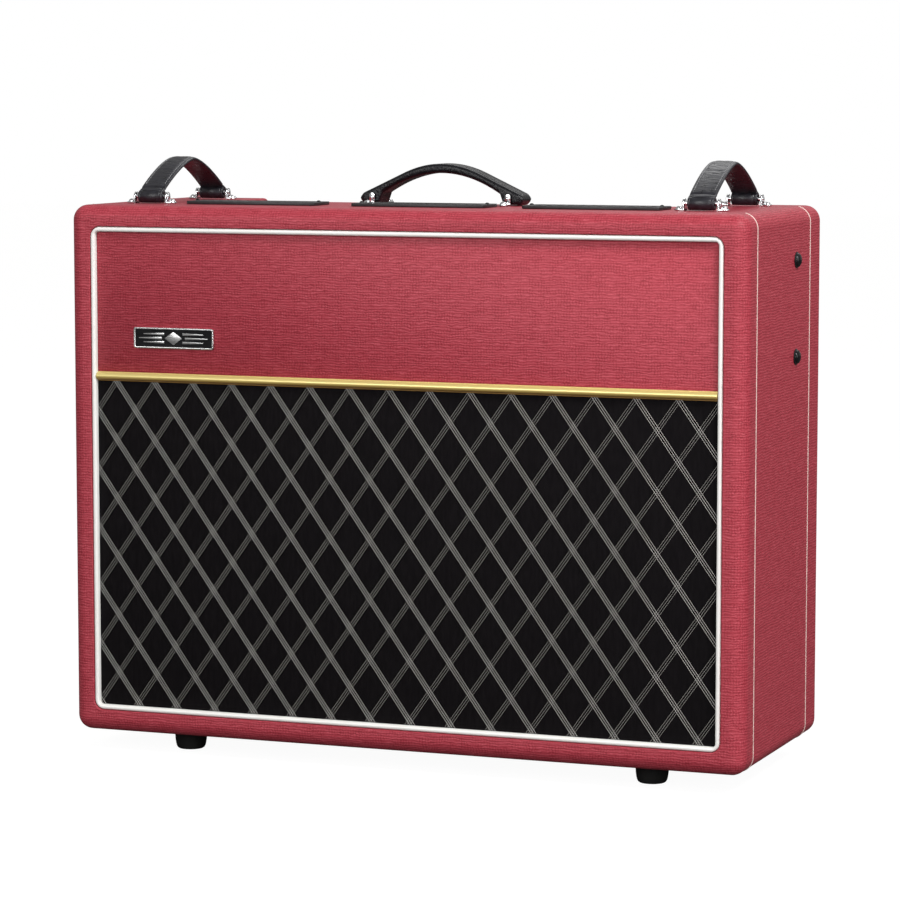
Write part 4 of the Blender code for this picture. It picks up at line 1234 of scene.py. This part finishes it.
def make_handles():
    for side_name in ("left", "right"):
        make_strap(side_name, centre_of("strap_" + side_name).x)
        for end in ("front", "rear"):
            bracket("strap_bracket_{}_{}".format(side_name, end), "X", 16.3 * MM, 27 * MM,
                    5.2 * MM, 5.2 * MM)
        bracket("handle_bracket_" + side_name, "Y", 15.6 * MM, 34 * MM, 2.9 * MM, 4.2 * MM)
    make_centre_handle()


# ---------------------------------------------------------------- controls
def knob_outline(radius, tip, pinch):
    """A circle drawn out to a point towards +Y; pinch above 0 narrows its sides."""
    points, samples = [], 40
    for index in range(samples):
        angle = 2 * math.pi * index / samples
        x, y = radius * math.cos(angle), radius * math.sin(angle)
        pull = max(0.0, math.sin(angle)) ** 3
        points.append((x * (1 - 0.93 * pull) * (1 - pinch), y + (tip - radius) * pull))
    return points


def knob_mesh():
    """Pointer knob: round skirt, tall tapered pointer, white line along its crest."""
    levels = [(0.0, 8.0, 12.2, 0.0), (0.4, 8.2, 12.6, 0.0), (2.6, 8.2, 12.6, 0.0),
              (3.3, 7.9, 12.3, 0.04), (3.9, 7.4, 12.2, 0.34), (4.6, 7.3, 12.2, 0.46),
              (13.4, 6.9, 11.7, 0.54), (14.4, 6.6, 11.3, 0.58), (14.9, 6.1, 10.7, 0.64),
              (15.0, 5.2, 9.6, 0.74)]
    rings = []
    for height, radius, tip, pinch in levels:
        rings.append([(x * MM, y * MM, height * MM) for x, y in knob_outline(radius, tip, pinch)])
    line = block((0, 5.45 * MM, 14.8 * MM), (0.35, 4.95, 0.2), 0.1 * MM, 1)
    shaft = lathe([(0, 1 * MM), (3 * MM, 1 * MM), (3 * MM, -16 * MM), (0, -16 * MM)], steps=20)
    return merged([tinted(loft(rings, angle=40), 0), tinted(line, 1), tinted(shaft, 2)], 40)


def nut_and_washer(centre, flat, bore, thickness, washer):
    """Hexagonal panel nut on a round washer, bored through."""
    hexagon = [(flat / math.cos(math.pi / 6) * math.cos(math.pi / 3 * i),
                flat / math.cos(math.pi / 6) * math.sin(math.pi / 3 * i)) for i in range(6)]
    nut = prism(hexagon, "XY", 0.3 * MM, thickness, 0.25 * MM, 2)
    hole = lathe([(0, 20 * MM), (bore, 20 * MM), (bore, -20 * MM), (0, -20 * MM)], steps=24)
    nut = boolean(nut, [hole])
    ring = lathe([(bore, 0.02 * MM), (bore, 0.4 * MM), (washer, 0.35 * MM), (washer, 0.02 * MM)],
                 steps=32)
    mesh = merged([nut, ring], 30)
    mesh.transform(Matrix.Translation(centre))
    return mesh


def make_controls():
    paint_node("control_panel", "panel", 0.5 * MM, 3)
    row_y = centre_of("pilot_lamp").y
    pattern = knob_mesh()
    ticks = []
    tick = block((0, 13.2 * MM, 0.06 * MM), (0.25, 0.3, 0.06))
    long_tick = block((0, 15.2 * MM, 0.06 * MM), (0.3, 1.0, 0.06))
    for name in [name for name in NODES if name.startswith("knob_")]:
        place = (centre_of(name).x, row_y, CONTROL_TOP + 0.8 * MM)
        piece(name + "_pointer", moved(pattern, Matrix.Translation(place)),
              ["knob", "marking", "steel"], name, (name,))
        for index in range(11):
            turn = Matrix.Rotation(math.radians(-150 + 30 * index), 4, "Z")
            where = Matrix.Translation((place[0], row_y, CONTROL_TOP + 0.02 * MM))
            ticks.append(moved(tick, where @ turn))
            if index == 5:                      # straight ahead
                ticks.append(moved(long_tick, where @ turn))
    for x, half in ((-138, 22), (174, 30), (-99, 22)):
        ticks.append(block((x * MM, row_y, CONTROL_TOP + 0.08 * MM), (0.25, half, 0.06)))
    piece("panel_markings", merged(ticks), "marking")

    collars = []
    lever = [(0, 18.2), (0.9, 18.1), (1.9, 17.6), (2.55, 16.6), (2.8, 15.2), (2.7, 13.6),
             (2.2, 9.0), (1.7, 4.5), (1.6, 3.2), (2.6, 2.4), (3.0, 1.2), (3.0, -1.2),
             (1.4, -3.0), (1.4, -6.0), (0, -6.0)]
    tilt = Matrix.Rotation(math.radians(12), 4, "X")
    for name in ("power_toggle", "standby_toggle"):
        pivot = Vector((centre_of(name).x, row_y, CONTROL_TOP + 1.5 * MM))
        mesh = lathe(mm(lever), steps=32)
        mesh.transform(Matrix.Translation(pivot) @ tilt)
        piece(name + "_bat", mesh, "chrome", name, (name,))
        collars.append(nut_and_washer((pivot.x, row_y, CONTROL_TOP), 6.2 * MM, 4.9 * MM,
                                      1.7 * MM, 8.2 * MM))
    middle = centre_of("input_jacks")
    for dx in (-16 * MM, 16 * MM):
        for dy in (-16 * MM, 16 * MM):
            collars.append(nut_and_washer((middle.x + dx, middle.y + dy, CONTROL_TOP), 6.4 * MM,
                                          4.75 * MM, 2.4 * MM, 8.6 * MM))
    piece("panel_nuts", merged(collars, 30), "chrome")
    paint_node("input_jacks", "plastic", 0.3 * MM)

    x = centre_of("pilot_lamp").x
    facets = [(0, 8.5), (1.6, 8.2), (3.2, 7.2), (4.6, 5.4), (5.2, 3.4), (5.2, 1.9), (4.4, 1.9),
              (4.4, -15.0), (0, -15.0)]
    jewel = lathe(mm(facets), (x, row_y, CONTROL_TOP), steps=12, angle=10)
    bezel = [(5.25, 1.0), (5.25, 2.5), (5.9, 2.6), (6.7, 2.0), (7.0, 1.1), (7.0, 0.3), (5.25, 0.3)]
    bezel = lathe(mm(bezel), (x, row_y, CONTROL_TOP))
    piece("pilot_lamp_jewel", merged([tinted(jewel, 0), tinted(bezel, 1)], 12),
          ["jewel", "chrome"], replaces=("pilot_lamp",))


# ---------------------------------------------------------------- speakers
def make_speakers():
    for side in ("left", "right"):
        frame_node, cone_node = "speaker_frame_" + side, "speaker_cone_" + side
        centre = centre_of(frame_node)
        centre.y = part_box(frame_node)[0].y
        paint_node(frame_node, "basket", 0.8 * MM)
        paint_node(cone_node, "paper", 0.3 * MM)
        ring = [(70.1, -78.0), (71.6, -79.0), (71.6, -89.0), (70.2, -90.0), (70.2, -91.0),
                (71.6, -92.0), (71.6, -107.0), (70.1, -109.0)]
        ring = lathe(mm(ring), centre, "-Y", 72)
        boss = [(0, -115.6), (18.0, -115.6), (21.0, -114.9), (22.0, -114.05), (0, -114.05)]
        boss = lathe(mm(boss), centre, "-Y")
        piece("speaker_{}_magnet".format(side), merged([tinted(ring, 0), tinted(boss, 1)]),
              ["ferrite", "brass"])
        gasket = [(141.6, -3.9), (152.8, -3.9), (152.8, -2.7), (141.6, -2.7)]
        gasket = lathe(mm(gasket), centre, "-Y", 72)
        spots = []
        for index in range(8):
            angle = math.radians(22.5 + 45 * index)
            spots.append((centre.x + 149.3 * MM * math.cos(angle), centre.y + 3.9 * MM,
                          centre.z + 149.3 * MM * math.sin(angle)))
        piece("speaker_{}_gasket".format(side), gasket, "gasket")
        screws("speaker_{}_screws".format(side), spots, 3.6 * MM, "Y", "steel")
        tabs = []
        for x in (-9, 9):
            tab = block(centre + Vector((x, 78.5, 74.4)) * MM, (2, 4.5, 0.4), 0.2 * MM, 1)
            tabs.append(tinted(tab, 1))
        board = centre + Vector((0, 73.25, 74.5)) * MM
        tabs.append(tinted(block(board, (17, 1.25, 5.5), 0.4 * MM, 2), 0))
        piece("speaker_{}_terminals".format(side), merged(tabs), ["winding", "brass"])


# ---------------------------------------------------------------- chassis and electronics
def make_power_valve(name):
    centre = underside_of(name)
    outer = [(10.6, 11.5), (10.8, 13.0), (10.8, 60.0), (10.3, 63.5), (8.8, 66.2), (6.0, 68.2),
             (3.5, 69.5), (2.4, 71.5), (1.6, 74.5), (0.8, 75.8), (0.1, 76.0)]
    inner = [(0.1, 74.8), (1.2, 71.5), (2.5, 68.8), (5.5, 67.0), (8.2, 65.2), (9.4, 63.0),
             (9.9, 60.0), (9.9, 13.0), (9.7, 11.5)]
    bulb = lathe(mm(outer + inner), centre, steps=40)
    piece(name + "_bulb", bulb, "glass", replaces=(name,))
    base = [(0, 11.6), (11.2, 11.6), (12.4, 11.0), (12.8, 9.8), (12.8, 0.6), (12.4, 0.0), (0, 0.0)]
    parts = [tinted(lathe(mm(base), centre, steps=36), 0)]
    anode = block(centre + Vector((0, 0, 36)) * MM, (6.2, 4.0, 17), 1.4 * MM)
    parts.append(tinted(anode, 1))
    for side in (-1, 1):
        fin = block(centre + Vector((side * 7.6, 0, 36)) * MM, (1.6, 0.4, 14), 0.2 * MM, 1)
        parts.append(tinted(fin, 1))
        rod = [(0, 57.0), (0.7, 57.0), (0.7, 12.0), (0, 12.0)]
        rod = lathe(mm(rod), centre + Vector((0, side * 5.8, 0)) * MM, steps=8)
        parts.append(tinted(rod, 2))
    for height in (17.2, 54.5):
        mica = [(0, height + 0.5), (9.3, height + 0.5), (9.3, height), (0, height)]
        parts.append(tinted(lathe(mm(mica), centre, steps=24), 3))
    cap = [(9.6, 60.5), (9.3, 62.9), (8.0, 65.0), (5.4, 66.7), (2.2, 68.4), (2.0, 67.9),
           (5.0, 66.2), (7.7, 64.5), (9.0, 62.5), (9.3, 60.5)]
    parts.append(tinted(lathe(mm(cap), centre, steps=32), 2))
    piece(name + "_inside", merged(parts), ["plastic", "anode", "getter", "marking"])


def make_preamp_valve(name):
    """Valve in its ribbed screening can with an open top."""
    centre = underside_of(name)
    profile = [(5.0, 52.4), (5.0, 53.9), (8.4, 53.6), (10.6, 52.0), (11.4, 49.0)]
    for index in range(5):
        base = 43.0 - 7.5 * index
        profile += [(11.4, base + 2.2), (11.8, base + 1.4), (11.8, base), (11.4, base - 0.8)]
    profile += [(11.4, 5.2), (11.8, 4.6), (11.8, 0.0), (10.4, 0.0), (10.4, 50.5), (8.0, 52.0)]
    piece(name + "_can", lathe(mm(profile), centre, steps=40), "steel",
          replaces=(name,))


def make_transformer(name):
    """Laminated core and wrapped winding, with a plate and a screw at each corner."""
    low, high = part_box(name)
    middle = (low + high) / 2
    size = high - low
    core_y = size.y * (0.61 if "power" in name else 0.606)
    winding_x, winding_z = size.x * 0.755, size.z * 0.72
    core = rounded_box((low.x, middle.y - core_y / 2, low.z), (high.x, middle.y + core_y / 2,
                                                               high.z), 1.5 * MM)
    winding = rounded_box((middle.x - winding_x / 2, low.y, middle.z - winding_z / 2),
                          (middle.x + winding_x / 2, high.y, middle.z + winding_z / 2),
                          7 * MM, 5)
    parts = [tinted(core, 0), tinted(winding, 1)]
    for side in (-1, 1):
        plate_y = middle.y + side * (core_y / 2 + 0.6 * MM)
        for corner_x in (-1, 1):
            for corner_z in (-1, 1):
                x = middle.x + corner_x * (size.x / 2 - 5.5 * MM)
                z = middle.z + corner_z * (size.z / 2 - 5.5 * MM)
                parts.append(tinted(block((x, plate_y, z), (5, 0.6, 5), 0.4 * MM, 1), 2))
                parts.append(tinted(screw((x, plate_y + side * 0.6 * MM, z), 3.2 * MM,
                                          "Y" if side > 0 else "-Y", x * 50), 2))
    piece(name + "_windings", merged(parts), ["lamination", "winding", "steel"],
          replaces=(name,))


def make_electronics():
    paint_node("chassis", "steel", 0.5 * MM)
    for index in range(4):
        make_power_valve("power_valve_{}".format(index + 1))
    for index in range(3):
        make_preamp_valve("preamp_valve_{}".format(index + 1))
    make_transformer("power_transformer")
    make_transformer("output_transformer")
    paint_node("reverb_tank", "steel", 0.8 * MM, 3)
    low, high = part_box("reverb_tank")
    ribs = []
    for index in range(5):
        x = low.x + (high.x - low.x) * (index + 0.5) / 5
        for y in (low.y + 15.5 * MM, high.y - 15.5 * MM):
            ribs.append(block((x, y, high.z + 0.25 * MM), (28, 1.5, 0.55), 0.5 * MM))
    piece("reverb_tank_ribs", merged(ribs), "steel")
    corners = [(x, y, high.z) for x in (low.x + 8 * MM, high.x - 8 * MM)
               for y in (low.y + 8 * MM, high.y - 8 * MM)]
    screws("reverb_tank_screws", corners, 3.2 * MM, "Z", "black_steel")

    paint_node("power_inlet", "plastic", 0.4 * MM)
    middle = centre_of("power_inlet")
    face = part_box("power_inlet")[1].y
    pins = []
    for dx, dz in ((-5.5, -1.8), (5.5, -1.8), (0.0, 2.2)):
        pin = (middle.x + dx * MM, face - 10.5 * MM, middle.z + dz * MM)
        pins.append(block(pin, (1, 6.5, 2.2), 0.4 * MM))
    piece("power_inlet_pins", merged(pins), "brass")


# ---------------------------------------------------------------- back
def cup_washer(centre):
    ring = [(3.4, 0.0), (3.4, 1.3), (4.6, 1.5), (6.0, 0.9), (6.6, 0.05), (6.6, -0.1), (3.4, -0.1)]
    return lathe(mm(ring), centre, "Y", 28)


def make_back():
    """Both back panels with cup-washered screws, and the wire mesh behind the upper one's vent."""
    for name in ("back_panel_upper", "back_panel_lower"):
        paint_node(name, "vinyl_flat", 1.2 * MM, 3)
        low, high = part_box(name)
        inset_x, inset_z, inner = 9 * MM, 10 * MM, 0.36
        xs = [low.x + inset_x, low.x * inner, high.x * inner, high.x - inset_x]
        zs = [low.z + inset_z, high.z - inset_z]
        places = [(x, high.y + 0.2 * MM, z) for x in xs for z in zs]
        piece(name + "_cups", merged([cup_washer(place) for place in places]), "chrome")
        screws(name + "_screws", places, 3.5 * MM, "Y")
    low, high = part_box("back_panel_upper")
    half_width = 240 * MM
    bottom, top = low.z + 24 * MM, high.z - 34 * MM
    y = low.y - 1.3 * MM
    slant = (top - bottom) * 0.6
    pitch, wire = 5.2 * MM, 0.7 * MM
    bm = bmesh.new()
    count = int((2 * half_width + slant) / pitch)
    for direction in (-1, 1):
        for index in range(count):
            start = -half_width - slant + index * pitch
            clip_low = clamp((-half_width - start) / slant, 0.0, 1.0)
            clip_high = clamp((half_width - start) / slant, 0.0, 1.0)
            if clip_high - clip_low < 0.03:
                continue
            ends = []
            for share in (clip_low, clip_high):
                x = direction * (start + slant * share)
                z = bottom + (top - bottom) * share
                ends.append([bm.verts.new((x + dx, y + dy, z)) for dx, dy in
                             ((-wire, 0), (0, -wire * 0.6), (wire, 0), (0, wire * 0.6))])
            for i in range(4):
                j = (i + 1) % 4
                bm.faces.new((ends[0][i], ends[0][j], ends[1][j], ends[1][i]))
            bm.faces.new(ends[0])
            bm.faces.new(ends[1][::-1])
    piece("back_vent_mesh", bm_mesh(bm, angle=50), "black_steel")


# ---------------------------------------------------------------- stage
def make_floor():
    reach = 14.0                                # from the middle to each edge
    bm = bmesh.new()
    bmesh.ops.create_grid(bm, x_segments=8, y_segments=8, size=reach)
    mesh = bpy.data.meshes.new("floor")
    bm.to_mesh(mesh)
    bm.free()
    floor = bpy.data.objects.new("floor", mesh)
    finish = Finish("floor", roughness=0.8, Specular_IOR_Level=0.1)
    seen = finish.node("LightPath").outputs["Is Camera Ray"]
    finish.set("Base Color", finish.range(seen, 0.0, 1.0, 0.10, 0.9))
    white = finish.node("Emission", {"Color": (1.0, 1.0, 1.0, 1.0), "Strength": 1.12})
    blend = finish.node("MixShader", {0: finish.math("MULTIPLY", seen, 0.85)})
    finish.tree.links.new(finish.shader.outputs[0], blend.inputs[1])
    finish.tree.links.new(white.outputs[0], blend.inputs[2])
    output = finish.tree.nodes["Material Output"]
    finish.tree.links.new(blend.outputs[0], output.inputs["Surface"])
    mesh.materials.append(finish.material)
    bpy.context.scene.collection.objects.link(floor)


make_camera()
make_lights()
make_floor()
make_cabinet()
make_side_piping()
make_front_panel()
make_front_piping()
make_gold_strip()
make_badge()
make_cloth_sheet()
make_feet()
make_vents()
make_bolts()
make_handles()
make_controls()
make_speakers()
make_electronics()
make_back()
